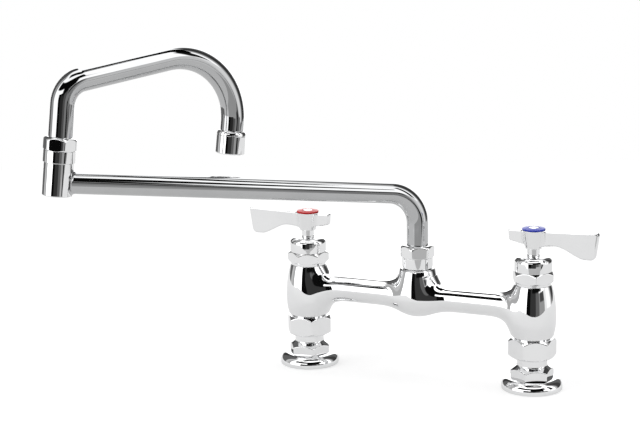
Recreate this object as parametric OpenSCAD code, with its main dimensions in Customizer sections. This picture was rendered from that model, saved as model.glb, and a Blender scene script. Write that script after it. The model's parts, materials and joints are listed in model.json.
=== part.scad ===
// Deck-mount bridge faucet with two quarter-turn valves and a double-jointed spout.
// Origin: on the deck, midway between the two inlets. +X runs from the hot to the cold side,
// -Y points to the user and +Z is up. Millimetres.

/* [Deck and inlets] */
// Distance between the two inlet axes
inlet_spacing = 203.2; // [180:0.1:240]
// Diameter of the round deck flange
flange_d = 50.8; // [46:0.1:60]
// Height of the flange's upright rim
flange_rim_h = 2.4; // [1.5:0.1:4]
// Height of the flange's crown, where the hexagon starts
flange_h = 9.8; // [5:0.1:12]
// Width across the flats of the inlet's hexagon
inlet_hex_af = 31.7; // [29:0.1:34]
// Height of the hexagon's corners
inlet_hex_h = 5.8; // [4:0.1:12]
// Height of the cone from those corners to the neck
shoulder_h = 4.4; // [3:0.1:6]
// Outside diameter of the inlet's neck
neck_d = 24.8; // [23:0.1:26]
// Length of the neck that shows under the union nut
neck_show_h = 6.2; // [1:0.1:10]
// Wall diameter of the threaded supply hole
inlet_bore_d = 18.4; // [16:0.1:20]
// Depth of the threaded supply hole
inlet_thread_depth = 16; // [12:0.5:18]
// Diameter of the water passages
waterway_d = 13; // [9:0.5:14]

/* [Union nuts] */
// Width across the flats of the union nuts
union_af = 35.2; // [34:0.1:40]
// Height of the union nuts
union_h = 17.1; // [15:0.1:26]
// Height of the lip that holds the inlet's collar
union_lip_h = 2.8; // [1.5:0.1:4]
// Diameter of the thread in the union nuts
union_thread_d = 30; // [29:0.1:31]
// Height of the collar on the inlet's neck
neck_collar_h = 3; // [2:0.1:4]
// Thickness of the union washer
union_washer_t = 1.6; // [1:0.1:2.5]

/* [Valve body] */
// Length of the threaded neck that shows over the union nut
spigot_show_h = 1.4; // [0.4:0.1:3]
// Height of each valve barrel
barrel_h = 44.3; // [42:0.1:53]
// Largest diameter of a barrel
barrel_d = 38.6; // [37:0.1:44]
// Diameter of a barrel at its top
barrel_top_d = 30.8; // [30:0.1:33]
// Diameter of a barrel at its foot
barrel_foot_d = 34.2; // [32:0.1:35]
// Height of the widest place above the barrel's foot
barrel_belly_z = 15.3; // [12:0.1:22]
// Height of the bridge's centreline above the barrel's foot
bridge_rise = 25.3; // [24:0.1:27]
// Outside diameter of the bridge tube
bridge_d = 23; // [20:0.1:26]
// Diameter of the bridge's flare where it meets a barrel
bridge_flare_d = 36; // [32:0.1:37]
// Radius of the flare's curve
bridge_flare_r = 13; // [10:0.1:18]
// Diameter of the bore that takes the valve cartridge
cartridge_bore_d = 24; // [23:0.1:25]
// Depth of the valve seat below the bridge's centreline
seat_drop = 14; // [12:0.1:16]

/* [Centre boss] */
// Height of the boss's rim above the bridge's centreline
boss_rise = 24.2; // [20:0.1:34]
// Diameter of the boss at its rim
boss_top_d = 29; // [28:0.1:32]
// Diameter of the boss at the bridge's centreline
boss_mid_d = 36; // [34:0.1:42]
// Depth of the boss's rounded bottom below the centreline
boss_drop = 16.4; // [14:0.1:20]
// Length of the threaded neck above the rim
boss_neck_h = 7.5; // [6:0.1:12]

/* [Valves] */
// Width across the flats of the cartridge's hexagon
bonnet_hex_af = 31; // [30.8:0.1:34]
// Height of that hexagon
bonnet_hex_h = 9.3; // [8:0.1:14]
// Height of the collar between barrel and hexagon
bonnet_collar_h = 2; // [1:0.1:4]
// Diameter of the bonnet cap
cap_d = 30.8; // [29:0.1:31]
// Height of the bonnet cap
cap_h = 9.7; // [8:0.1:14]
// Diameter of the stem where it shows
stem_d = 10.3; // [9.2:0.1:10.8]
// Length of stem between cap and handle
stem_show_h = 9.4; // [7:0.1:20]
// Thickness of each ceramic disc
disc_t = 3; // [2:0.1:4]

/* [Handles] */
// Height of the handle's hub
hub_h = 14.6; // [13:0.1:20]
// Diameter of the hub's foot
hub_foot_d = 13.8; // [13:0.1:15]
// Diameter of the hub's top
hub_top_d = 19.2; // [18:0.1:21]
// Length of the blade from the stem's axis
blade_l = 55; // [50:0.5:80]
// Length of the tail from the stem's axis
tail_l = 21; // [16:0.5:24]
// Thickness of the blade
blade_t = 5.4; // [4:0.1:6.2]
// Depth of the blade at its narrow waist
blade_waist_h = 12.6; // [10:0.1:13]
// Depth of the blade at its broad end
blade_end_h = 22.8; // [19:0.1:24]
// Height of the coloured index ring
index_h = 2.2; // [1.6:0.1:4]

/* [Spout] */
// Direction of the lower arm at rest, turned from +X
arm_angle = 224; // [180:1:300]
// Upward slope of the lower arm
arm_slope = 6.4; // [0:0.1:8]
// Length of the lower arm from riser axis to swivel axis
arm_l = 304.8; // [200:0.1:400]
// Height of the riser above the spout nut
riser_h = 43.4; // [36:0.1:90]
// Outside diameter of the lower tube
arm_d = 18; // [17.6:0.1:18.2]
// Wall of both tubes
tube_t = 1.6; // [1.2:0.1:1.8]
// Bend radius of the lower arm's centreline
arm_bend_r = 28.5; // [22:0.5:32]
// Direction of the upper spout at rest, turned from the lower arm's own
fold_angle = 193; // [180:1:270]
// Reach of the upper spout from swivel axis to outlet axis
spout_l = 152.4; // [130:0.1:220]
// Outside diameter of the upper tube
spout_d = 19; // [18.6:0.1:19.2]
// Height of the corner between upper riser and run, above the lower arm
spout_corner_h = 76.7; // [70:0.1:110]
// Upward slope of the upper run
spout_slope = 14; // [0:0.5:20]
// Radius of the bend above the swivel
spout_bend_r = 20; // [18:0.5:24]
// Radius of the bend down to the outlet
outlet_bend_r = 52; // [40:0.5:56]
// Height of the outlet's mouth above the lower arm
outlet_h = 22.8; // [20:0.1:30]

/* [Spout nuts] */
// Width across the flats of the lower spout nut
spout_nut_af = 26; // [25.5:0.1:28]
// Wall of the boss's threaded neck, round the lower arm
boss_neck_wall = 2.8; // [2.6:0.1:3.4]
// Height of the lower nut's skirt
spout_skirt_h = 9; // [7:0.1:10]
// Height of the lower nut's hexagon
spout_nut_h = 11; // [9:0.1:14]
// Width across the flats of the swivel nut
swivel_nut_af = 24.4; // [24:0.1:27]
// Height of the swivel nut's skirt
swivel_skirt_h = 9.4; // [8:0.1:11]
// Height of the swivel nut's hexagon
swivel_nut_h = 10.6; // [9:0.1:14]

/* [Swivel] */
// Wall of the swivel socket, round the upper spout
socket_wall = 2; // [1.9:0.05:2.6]
// Depth of the socket below the lower arm's centreline
socket_drop = 10.6; // [10.2:0.1:16]
// Height of the socket's shoulder above that centreline
socket_rise = 15.4; // [13:0.1:22]
// Length of the threaded neck above the shoulder
socket_neck_h = 9.6; // [8:0.1:11]

/* [Aerator] */
// Outside diameter of the aerator's housing
aerator_d = 24; // [23.4:0.1:26]
// Height of the aerator's housing
aerator_h = 15.2; // [14:0.1:24]
// Height of the rounded shoulder above the housing
outlet_shoulder_h = 4; // [3:0.1:6]

/* [Spanner angles] */
// Turn of the hot inlet's hexagon
hot_inlet_turn = 3; // [0:1:59]
// Turn of the cold inlet's hexagon
cold_inlet_turn = 29; // [0:1:59]
// Turn of the hot union nut
hot_union_turn = 1; // [0:1:59]
// Turn of the cold union nut
cold_union_turn = 26; // [0:1:59]
// Turn of the hot cartridge's hexagon
hot_bonnet_turn = 22; // [0:1:59]
// Turn of the cold cartridge's hexagon
cold_bonnet_turn = 55; // [0:1:59]
// Turn of the lower spout nut
spout_nut_turn = 30; // [0:1:59]
// Turn of the swivel nut
swivel_nut_turn = 31; // [0:1:59]

/* [Hidden] */
$fn = 96;

// Clearances
run_fit = 0.06;      // radial, turning tube or stem in its bore
slip_fit = 0.1;      // radial, pieces that are screwed or slid together
clear = 0.3;         // between parts that move past each other
overlap = 0.4;       // how far one form of a solid reaches into the next
disc_gap = 0.05;     // film of water between the lapped discs
bend_swell = 0.12;   // how much a pipe's diameter grows where it is bent
bend_seat = 0.05;    // how far a straight pipe reaches into a bend

// Heights up a valve, from the deck
hex_z = flange_h;
neck_z = hex_z + inlet_hex_h + shoulder_h;
crown_step = 0.8;
cushion_steps = 8;
union_z = neck_z + neck_show_h;
neck_collar_z = union_z + union_lip_h;
washer_z = neck_collar_z + neck_collar_h;
spigot_z = washer_z + union_washer_t;
union_top_z = union_z + union_h;
foot_z = union_top_z + spigot_show_h;
rim_z = foot_z + barrel_h;
bridge_z = foot_z + bridge_rise;
seat_z = bridge_z - seat_drop;
bonnet_hex_z = rim_z + bonnet_collar_h;
cap_z = bonnet_hex_z + bonnet_hex_h;
cap_top_z = cap_z + cap_h;
hub_z = cap_top_z + stem_show_h;
index_z = hub_z + hub_h;

// Inside the cartridge
seal_t = 2.2;
shell_foot_z = seat_z + 0.6;
shell_d = cartridge_bore_d - 2 * slip_fit;
shell_wall = 1.3;
chamber_d = shell_d - 2 * shell_wall;
disc_d = chamber_d - 2 * slip_fit;
fixed_disc_z = seat_z + seal_t;
moving_disc_z = fixed_disc_z + disc_t + disc_gap;
chamber_top_z = bridge_z + 7;
stem_shoulder_h = 2.6;
stem_shoulder_d = chamber_d - 4;
stem_bore_d = 12.1;
stem_body_d = stem_bore_d - 2 * run_fit;
port_r = chamber_d * 0.26;
port_d = chamber_d * 0.28;
drive_w = 4.6;
drive_l = chamber_d - 4;
slot_depth = disc_t * 0.45;
window_w = 9;
window_h = 9;
stem_ring_t = 1.6;
stem_ring_zs = [rim_z - 5, rim_z - 1];
body_ring_t = 2.4;
body_ring_z = rim_z - 4;
bonnet_inset = 0.3;
cap_neck_d = 24;
cap_roll = 4.2;
cap_neck_h = cap_h - 3;
square_w = 6.4;
square_foot_z = hub_z + 1.2;
square_h = hub_h - 4;
screw_d = 4.2;
screw_head_d = 8.8;
screw_l = square_h - 1;

// The boss, and the nut that holds the spout in it
boss_rim_z = bridge_z + boss_rise;
boss_neck_z = boss_rim_z + boss_neck_h;
nut_wall = 1.1;
boss_neck_d = arm_d + 2 * boss_neck_wall;
spout_skirt_d = boss_neck_d + 2 * nut_wall;
boss_bore_d = arm_d + 2 * run_fit;
bearing_t = 1;
collar_t = 2.2;
nut_gap = 0.3;
spout_nut_z = boss_rim_z + nut_gap;
spout_hex_z = spout_nut_z + spout_skirt_h;
spout_nut_top_z = spout_hex_z + spout_nut_h;
arm_foot_z = bridge_z + 8;
arm_corner_z = spout_nut_top_z + riser_h;
arm_turn = 90 - arm_slope;
arm_tangent = arm_bend_r * tan(arm_turn / 2);
ring_t = 1.6;
foot_wall = 2.8;
foot_l = 14;
bell_power = 2.5;
bowl_power = 2;
boss_steps = 8;
ring_steps = [4, 10];

// The swivel, measured along its own axis from the lower arm's centreline
socket_d = spout_d + 2 * socket_wall;
socket_step = 0.15;
socket_neck_d = socket_d - 2 * socket_step;
swivel_skirt_d = socket_neck_d + 2 * nut_wall;
socket_bore_d = spout_d + 2 * run_fit;
socket_floor = 3;
socket_top = socket_rise + socket_neck_h;
spout_foot = -socket_drop + socket_floor + 4;
port_hole_d = arm_d - 2 * tube_t;

// The outlet, measured along the swivel's axis
first_turn = 90 - spout_slope;
first_tangent = spout_bend_r * tan(first_turn / 2);
last_turn = 90 + spout_slope;
last_tangent = outlet_bend_r * tan(last_turn / 2);
outlet_corner_h = spout_corner_h + spout_l * tan(spout_slope);
run_l = spout_l / cos(spout_slope) - first_tangent - last_tangent;
housing_top_h = outlet_h + aerator_h;
shoulder_top_h = housing_top_h + outlet_shoulder_h;
adapter_thread_d = aerator_d - 2 * nut_wall;
adapter_l = 6;
adapter_foot_h = housing_top_h - adapter_l;
aerator_bore_d = aerator_d - 2 * nut_wall + 2 * slip_fit;
aerator_mouth_d = aerator_bore_d - 2.4;
mouth_lip_h = 1.6;
insert_d = aerator_bore_d - 2 * slip_fit;
washer_t = 1.6;
screen_t = 0.8;
insert_h = adapter_foot_h - outlet_h - mouth_lip_h - washer_t - screen_t;

module ring(d_out, d_in, h) {
  difference() {
    cylinder(d = d_out, h = h);
    translate([0, 0, -1])
      cylinder(d = d_in, h = h + 2);
  }
}

module oring(d_out, thick) {
  rotate_extrude()
    translate([d_out / 2 - thick / 2, 0])
      circle(d = thick, $fn = 32);
}

// Chamfers of the hexagons: how far each one reaches in from the corners, and how far along them
inlet_foot_chamfer = [0.5, 0.3];
inlet_reach = 1.1;
inlet_top_chamfer = inlet_reach * [inlet_hex_af / cos(30) / 2 - neck_d / 2, shoulder_h];
union_foot_chamfer = [5, 3];
union_top_chamfer = [2.7, 2.7];
bonnet_foot_chamfer = [2.4, 2];
bonnet_top_chamfer = [2.4, 2.3];
nut_corner_r = 4.3;
nut_corner_steps = 4;
nut_foot_chamfer = 1.4;
nut_dome_r = 4;
nut_dome_start = 12;
nut_dome_end = 84;

// A hexagon that is turned down at both ends, by the two chamfers
module hex_blank(af, h, foot, top) {
  corner = af / cos(30) / 2;
  foot_rise = foot[1] * (1 + overlap / foot[0]);
  top_drop = top[1] * (1 + overlap / top[0]);
  intersection() {
    cylinder(r = corner, h = h, $fn = 6);
    rotate_extrude()
      polygon([[0, 0], [corner - foot[0], 0], [corner + overlap, foot_rise],
               [corner + overlap, h - top_drop], [corner - top[0], h], [0, h]]);
  }
}

// Points of an arc about centre c, from angle a0 to a1 in n steps
function arc(c, r, a0, a1, n) =
  [for (i = [0 : n]) c + r * [cos(a0 + (a1 - a0) * i / n), sin(a0 + (a1 - a0) * i / n)]];

module at_hot() {
  translate([-inlet_spacing / 2, 0, 0])
    children();
}

module at_cold() {
  translate([inlet_spacing / 2, 0, 0])
    children();
}

// Half outline of a barrel: a swelling that falls away to the foot and to the rim
barrel_power = 2.3;
barrel_steps = 12;
function barrel_r(z) =
  z < barrel_belly_z
    ? barrel_d / 2 - (barrel_d - barrel_foot_d) / 2
        * pow((barrel_belly_z - z) / barrel_belly_z, barrel_power)
    : barrel_d / 2 - (barrel_d - barrel_top_d) / 2
        * pow((z - barrel_belly_z) / (barrel_h - barrel_belly_z), barrel_power);

module barrel() {
  translate([0, 0, foot_z])
    rotate_extrude()
      polygon(concat([[0, 0]],
        [for (i = [0 : barrel_steps]) [barrel_r(barrel_h * i / barrel_steps), barrel_h * i / barrel_steps]],
        [[0, barrel_h]]));
}

// The bridge: a round tube that flares into each barrel
flare_end = inlet_spacing / 2 - barrel_d / 2 + 2;
flare_a = acos(1 - (bridge_flare_d - bridge_d) / 2 / bridge_flare_r);
flare_run = bridge_flare_r * sin(flare_a);
module bridge() {
  flare_c = [bridge_d / 2 + bridge_flare_r, flare_end - flare_run];
  translate([0, 0, bridge_z])
    for (side = [0, 1])
      mirror([side, 0, 0])
        rotate([0, 90, 0])
          rotate_extrude()
            polygon(concat([[0, -overlap], [bridge_d / 2, -overlap]],
              arc(flare_c, bridge_flare_r, 180, 180 - flare_a, 8),
              [[bridge_flare_d / 2, flare_end + overlap], [0, flare_end + overlap]]));
}

// The centre boss: a bell with a rounded bottom, a rim and a threaded neck
module boss() {
  mid = boss_mid_d / 2;
  flare = mid - boss_top_d / 2;
  translate([0, 0, bridge_z])
    rotate_extrude()
      polygon(concat([[0, -boss_drop]],
        [for (i = [1 : boss_steps]) let (a = 90 * i / boss_steps)
          [mid * pow(sin(a), 2 / bowl_power), -boss_drop * pow(cos(a), 2 / bowl_power)]],
        [for (i = [1 : boss_steps]) let (t = i / boss_steps)
          [mid - flare * (1 - pow(1 - t, bell_power)), boss_rise * t]],
        [[boss_neck_d / 2, boss_rise], [boss_neck_d / 2, boss_rise + boss_neck_h],
         [0, boss_rise + boss_neck_h]]));
}

module barrel_bores() {
  translate([0, 0, spigot_z - 1])
    cylinder(d = waterway_d, h = seat_z - spigot_z + 2);
  translate([0, 0, seat_z])
    cylinder(d = cartridge_bore_d, h = rim_z - seat_z + 1);
}

module bridge_body() {
  color("silver")
    difference() {
      union() {
        for (s = [-1, 1])
          translate([s * inlet_spacing / 2, 0, 0]) {
            barrel();
            translate([0, 0, spigot_z])
              cylinder(d = union_thread_d - 2 * slip_fit, h = foot_z - spigot_z + overlap);
          }
        bridge();
        boss();
      }
      for (s = [-1, 1])
        translate([s * inlet_spacing / 2, 0, 0])
          barrel_bores();
      translate([-inlet_spacing / 2, 0, bridge_z])
        rotate([0, 90, 0])
          cylinder(d = waterway_d, h = inlet_spacing);
      translate([0, 0, bridge_z])
        cylinder(d = boss_bore_d, h = boss_rise + boss_neck_h + 1);
    }
}

// Flanged inlet: cushioned flange, hexagon, neck and the collar that the union nut pulls up
module inlet(turn) {
  crown_r = inlet_hex_af / 2 + crown_step;
  rim_r = flange_d / 2;
  sunk = hex_z - flange_rim_h;
  difference() {
    union() {
      rotate_extrude()
        polygon(concat([[0, 0], [rim_r, 0]],
          [for (i = [0 : cushion_steps]) let (a = 90 * i / cushion_steps)
            [crown_r + (rim_r - crown_r) * cos(a), flange_rim_h + (flange_h - flange_rim_h) * sin(a)]],
          [[0, flange_h]]));
      translate([0, 0, hex_z - sunk])
        rotate([0, 0, turn])
          hex_blank(inlet_hex_af, sunk + inlet_hex_h + inlet_top_chamfer[1],
                    inlet_foot_chamfer, inlet_top_chamfer);
      cylinder(d = neck_d, h = washer_z);
      translate([0, 0, neck_collar_z])
        cylinder(d = union_thread_d - 2 * slip_fit, h = neck_collar_h);
    }
    translate([0, 0, -1])
      cylinder(d = inlet_bore_d, h = inlet_thread_depth + 1);
    cylinder(d = waterway_d, h = washer_z + 1);
  }
}

module union_washer() {
  translate([0, 0, washer_z])
    ring(union_thread_d - 6 * slip_fit, waterway_d + 2, union_washer_t);
}

module union_nut(turn) {
  translate([0, 0, union_z])
    difference() {
      rotate([0, 0, turn])
        hex_blank(union_af, union_h, union_foot_chamfer, union_top_chamfer);
      translate([0, 0, -1])
        cylinder(d = neck_d + 2 * slip_fit, h = union_h);
      translate([0, 0, union_lip_h])
        cylinder(d = union_thread_d, h = union_h);
    }
}

module seat_seal() {
  translate([0, 0, seat_z])
    ring(disc_d, waterway_d + 1, seal_t);
}

// A ceramic disc with two ports; ports along Y when turn is 0
module ported_disc(turn, t) {
  difference() {
    cylinder(d = disc_d, h = t);
    for (s = [-1, 1])
      rotate([0, 0, turn])
        translate([0, s * port_r, -1])
          cylinder(d = port_d, h = t + 2);
  }
}

module fixed_disc() {
  translate([0, 0, fixed_disc_z])
    ported_disc(0, disc_t);
}

// The driven disc is closed at rest: its ports stand at right angles to the fixed disc's
module moving_disc() {
  translate([0, 0, moving_disc_z])
    difference() {
      ported_disc(90, disc_t);
      translate([-drive_w / 2 - slip_fit, -drive_l / 2 - slip_fit, disc_t - slot_depth])
        cube([drive_w + 2 * slip_fit, drive_l + 2 * slip_fit, disc_t]);
    }
}

// Cartridge body: windowed shank, sealing groove, hexagon and the neck for the cap
module cartridge_body(turn) {
  difference() {
    union() {
      translate([0, 0, shell_foot_z])
        cylinder(d = shell_d, h = rim_z - shell_foot_z);
      translate([0, 0, rim_z])
        cylinder(d = barrel_top_d - 2 * bonnet_inset, h = bonnet_collar_h + overlap);
      translate([0, 0, bonnet_hex_z])
        rotate([0, 0, turn])
          hex_blank(bonnet_hex_af, bonnet_hex_h, bonnet_foot_chamfer, bonnet_top_chamfer);
      translate([0, 0, cap_z - overlap])
        cylinder(d = cap_neck_d, h = cap_neck_h + overlap);
    }
    translate([0, 0, shell_foot_z - 1])
      cylinder(d = chamber_d, h = chamber_top_z - shell_foot_z + 1);
    translate([0, 0, shell_foot_z])
      cylinder(d = stem_bore_d, h = cap_top_z - shell_foot_z);
    for (a = [0, 90])
      rotate([0, 0, a])
        translate([-shell_d, -window_w / 2, chamber_top_z - 1 - window_h])
          cube([2 * shell_d, window_w, window_h]);
    translate([0, 0, body_ring_z - body_ring_t / 2 - slip_fit])
      ring(shell_d + 2, shell_d - 2 * body_ring_t, body_ring_t + 2 * slip_fit);
  }
}

module body_oring() {
  translate([0, 0, body_ring_z])
    oring(shell_d + slip_fit, body_ring_t);
}

// Stem: drive bar, thrust shoulder, sealed shaft, visible shaft and a square for the handle
module stem() {
  drive_z = moving_disc_z + disc_t - slot_depth;
  shoulder_z = chamber_top_z - clear - stem_shoulder_h;
  difference() {
    union() {
      translate([-drive_w / 2, -drive_l / 2, drive_z])
        cube([drive_w, drive_l, shoulder_z - drive_z + overlap]);
      translate([0, 0, shoulder_z])
        cylinder(d = stem_shoulder_d, h = stem_shoulder_h);
      translate([0, 0, shoulder_z])
        cylinder(d = stem_body_d, h = cap_z - shoulder_z);
      translate([0, 0, cap_z - overlap])
        cylinder(d = stem_d, h = square_foot_z - cap_z + overlap);
      translate([-square_w / 2, -square_w / 2, square_foot_z - overlap])
        cube([square_w, square_w, square_h + overlap]);
    }
    for (z = stem_ring_zs)
      translate([0, 0, z - stem_ring_t / 2 - slip_fit])
        ring(stem_body_d + 2, stem_body_d - 2 * stem_ring_t, stem_ring_t + 2 * slip_fit);
    translate([0, 0, square_foot_z + square_h - screw_l - 1])
      cylinder(d = screw_d + 2 * slip_fit, h = screw_l + 2);
  }
}

module stem_orings() {
  for (z = stem_ring_zs)
    translate([0, 0, z])
      oring(stem_body_d, stem_ring_t);
}

// Bonnet cap: a cup with a rolled edge, screwed over the cartridge's neck
module bonnet_cap() {
  translate([0, 0, cap_z])
    difference() {
      rotate_extrude()
        polygon(concat([[0, 0], [cap_d / 2, 0]],
          arc([cap_d / 2 - cap_roll, cap_h - cap_roll], cap_roll, 0, 90, 6),
          [[0, cap_h]]));
      translate([0, 0, -1])
        cylinder(d = stem_d + 2 * clear, h = cap_h + 2);
      translate([0, 0, -1])
        cylinder(d = cap_neck_d + 2 * slip_fit, h = cap_neck_h + slip_fit + 1);
    }
}

// The lever's outline. Its top rises to the tip; the underside is arched between hub and end
blade_lip = 0.6;
blade_climb = 1.4;
arch_drop = 4.3;
arch_share = 0.34;
heel_share = 0.81;
root_x = 6;
tail_depth = 9.8;
tail_root_depth = 12.6;
tail_slant = 1.4;
tail_edge = 1;
end_slant = 3.1;
end_slant_a = 10;
end_low_r = 3.8;
end_top_r = 2.8;
function blade_outline() =
  let (top = hub_h + blade_lip,
       tip = top + blade_climb,
       waist = top + blade_climb * arch_share - blade_waist_h,
       low = tip - blade_end_h,
       arch_x = blade_l * arch_share,
       heel_x = blade_l * heel_share)
  concat(
    [[0, top], [-tail_l + tail_edge, top], [-tail_l, top - tail_edge],
     [-tail_l + tail_slant, top - tail_depth], [-root_x, top - tail_root_depth]],
    [for (i = [0 : 4]) let (x = root_x + (arch_x - root_x) * i / 4)
      [x, waist - arch_drop * pow(1 - x / arch_x, 2)]],
    [for (i = [1 : 8]) let (t = i / 8)
      [arch_x + (heel_x - arch_x) * t, waist + (low - waist) * (3 * t * t - 2 * t * t * t)]],
    arc([blade_l - end_slant - end_low_r, low + end_low_r], end_low_r, -90, -end_slant_a, 4),
    arc([blade_l - end_top_r, tip - end_top_r], end_top_r, -end_slant_a, 90, 4));

module handle() {
  translate([0, 0, hub_z])
    difference() {
      union() {
        cylinder(d1 = hub_foot_d, d2 = hub_top_d, h = hub_h);
        difference() {
          rotate([90, 0, 0])
            translate([0, 0, -blade_t / 2])
              linear_extrude(height = blade_t)
                polygon(blade_outline());
          translate([0, 0, hub_h])
            cylinder(d = hub_top_d + 2 * slip_fit, h = index_h + 1);
        }
      }
      translate([-square_w / 2 - slip_fit, -square_w / 2 - slip_fit, square_foot_z - hub_z])
        cube([square_w + 2 * slip_fit, square_w + 2 * slip_fit, square_h + slip_fit]);
      translate([0, 0, -1])
        cylinder(d = stem_d + 2 * slip_fit, h = square_foot_z - hub_z + 1);
      cylinder(d = screw_d + 4 * slip_fit, h = hub_h + 1);
    }
}

// A broad ring with a low crown, round the screw's head
index_edge = 0.3;
index_rim_h = 0.9;
index_inner_h = index_h - 0.3;
module index_ring() {
  r_out = hub_top_d / 2 + 0.5 * slip_fit;
  r_in = screw_head_d / 2 + slip_fit;
  translate([0, 0, index_z])
    rotate_extrude()
      polygon([[r_in, 0], [r_out - index_edge, 0], [r_out, index_edge], [r_out, index_rim_h],
               [r_out - 2 * index_edge, index_rim_h + index_edge], [r_in, index_inner_h]]);
}

screw_slot_w = 1;
screw_slot_depth = 0.8;
module handle_screw() {
  head_r = screw_head_d / 2;
  shank_z = square_foot_z - hub_z + square_h - screw_l;
  translate([0, 0, index_z]) {
    difference() {
      rotate_extrude()
        polygon([[0, 0], [head_r, 0], [head_r, index_h * 0.6], [head_r * 0.8, index_h * 0.9],
                 [head_r * 0.4, index_h], [0, index_h]]);
      translate([-head_r * 0.6, -screw_slot_w / 2, index_h - screw_slot_depth])
        cube([head_r * 1.2, screw_slot_w, screw_slot_w]);
    }
    translate([0, 0, shank_z - hub_h])
      cylinder(d = screw_d, h = hub_h - shank_z + overlap);
  }
}

// A hexagon whose corners are polished round
module soft_hexagon(af, h) {
  centre_r = (af / 2 - nut_corner_r) / cos(30);
  linear_extrude(height = h)
    polygon([for (k = [0 : 5]) for (i = [0 : nut_corner_steps])
      let (a = 60 * k - 30 + 60 * i / nut_corner_steps)
        centre_r * [cos(60 * k), sin(60 * k)] + nut_corner_r * [cos(a), sin(a)]]);
}

// Round-skirted hexagon nut that holds a tube's collar down on its bearing.
// seat is the height of the bearing's underside above the nut's foot
module skirt_nut(af, skirt_d, skirt_h, hex_h, thread_d, tube_d, seat, turn) {
  corner = (af / 2 - nut_corner_r) / cos(30) + nut_corner_r;
  cavity_h = seat + bearing_t + collar_t + 2 * clear;
  difference() {
    union() {
      cylinder(d = skirt_d, h = skirt_h + overlap);
      translate([0, 0, skirt_h])
        rotate([0, 0, turn])
          intersection() {
            soft_hexagon(af, hex_h);
            rotate_extrude()
              polygon(concat([[0, 0], [af / 2, 0], [corner + overlap, nut_foot_chamfer]],
                arc([corner - nut_dome_r, hex_h - nut_dome_r], nut_dome_r, nut_dome_start, nut_dome_end, 6),
                [[0, hex_h]]));
          }
    }
    translate([0, 0, -1])
      cylinder(d = thread_d + 2 * slip_fit, h = cavity_h + 1);
    cylinder(d = tube_d + 2 * clear, h = skirt_h + hex_h + 1);
  }
}

module spout_nut() {
  color("silver")
    translate([0, 0, spout_nut_z])
      skirt_nut(spout_nut_af, spout_skirt_d, spout_skirt_h, spout_nut_h, boss_neck_d, arm_d,
                boss_neck_h - nut_gap, spout_nut_turn);
}

module spout_bearing() {
  color("white")
    translate([0, 0, boss_neck_z])
      ring(boss_neck_d - 1, arm_d + 2 * clear, bearing_t);
}

// A straight pipe up +Z. Its ends reach a hair into the bends before and after it
module pipe(d, h, before = 0, after = 0) {
  translate([0, 0, -before * bend_seat])
    ring(d, d - 2 * tube_t, h + (before + after) * bend_seat);
}

// A pipe bend that leaves the origin up +Z and turns towards +X; the wall swells slightly there
module pipe_bend(d, r, a) {
  translate([r, 0, 0])
    rotate([90, 0, 180])
      rotate_extrude(angle = a)
        translate([r, 0])
          difference() {
            circle(d = d + bend_swell);
            circle(d = d - 2 * tube_t - bend_swell);
          }
}

// Moves on to the far end of such a bend
module after_bend(r, a) {
  translate([r * (1 - cos(a)), 0, r * sin(a)])
    rotate([0, a, 0])
      children();
}

module arm_frame() {
  rotate([0, 0, arm_angle])
    children();
}

// The swivel's frame: X along the lower arm, Z along the swivel's axis
module swivel_frame() {
  arm_frame()
    translate([arm_l * cos(arm_slope), 0, arm_corner_z + arm_l * sin(arm_slope)])
      rotate([0, -arm_slope, 0])
        children();
}

module spout_frame() {
  swivel_frame()
    rotate([0, 0, fold_angle])
      children();
}

// The foot of a tube: a thicker wall with a groove for each sealing ring
module sealed_foot(d, h, zs) {
  difference() {
    union() {
      translate([0, 0, foot_l - overlap])
        pipe(d, h - foot_l + overlap, after = 1);
      ring(d, d - 2 * foot_wall, foot_l);
    }
    for (z = zs)
      translate([0, 0, z - ring_t / 2])
        ring(d + 2, d - 2 * ring_t, ring_t);
  }
}

module lower_arm() {
  riser_end = arm_corner_z - arm_tangent;
  color("silver") {
    arm_frame()
      translate([0, 0, arm_foot_z])
        sealed_foot(arm_d, riser_end - arm_foot_z, ring_steps);
    arm_frame()
      translate([0, 0, riser_end])
        pipe_bend(arm_d, arm_bend_r, arm_turn);
    difference() {
      arm_frame()
        translate([0, 0, riser_end])
          after_bend(arm_bend_r, arm_turn)
            pipe(arm_d, arm_l - arm_tangent, before = 1);
      swivel_frame()
        translate([0, 0, -arm_d])
          cylinder(d = socket_d, h = 2 * arm_d);
    }
  }
}

module arm_collar() {
  color("goldenrod")
    translate([0, 0, boss_neck_z + bearing_t + clear])
      ring(boss_neck_d - 1, arm_d, collar_t);
}

module arm_orings() {
  color("dimgray")
    for (z = ring_steps)
      translate([0, 0, arm_foot_z + z])
        oring(arm_d, ring_t - slip_fit);
}

module swivel_socket() {
  color("silver")
    swivel_frame()
      difference() {
        union() {
          translate([0, 0, -socket_drop])
            rotate_extrude()
              polygon([[0, 0], [socket_d / 2 - 1, 0], [socket_d / 2, 1],
                       [socket_d / 2, socket_drop + socket_rise], [0, socket_drop + socket_rise]]);
          cylinder(d = socket_neck_d, h = socket_top);
        }
        translate([0, 0, -socket_drop + socket_floor])
          cylinder(d = socket_bore_d, h = socket_top + socket_drop);
        rotate([0, -90, 0])
          cylinder(d = port_hole_d, h = socket_d);
      }
}

module swivel_bearing() {
  color("white")
    swivel_frame()
      translate([0, 0, socket_top])
        ring(socket_neck_d - 0.6, spout_d + 2 * clear, bearing_t);
}

module swivel_nut() {
  color("silver")
    swivel_frame()
      translate([0, 0, socket_rise + nut_gap])
        skirt_nut(swivel_nut_af, swivel_skirt_d, swivel_skirt_h, swivel_nut_h, socket_neck_d, spout_d,
                  socket_neck_h - nut_gap, swivel_nut_turn);
}

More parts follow.
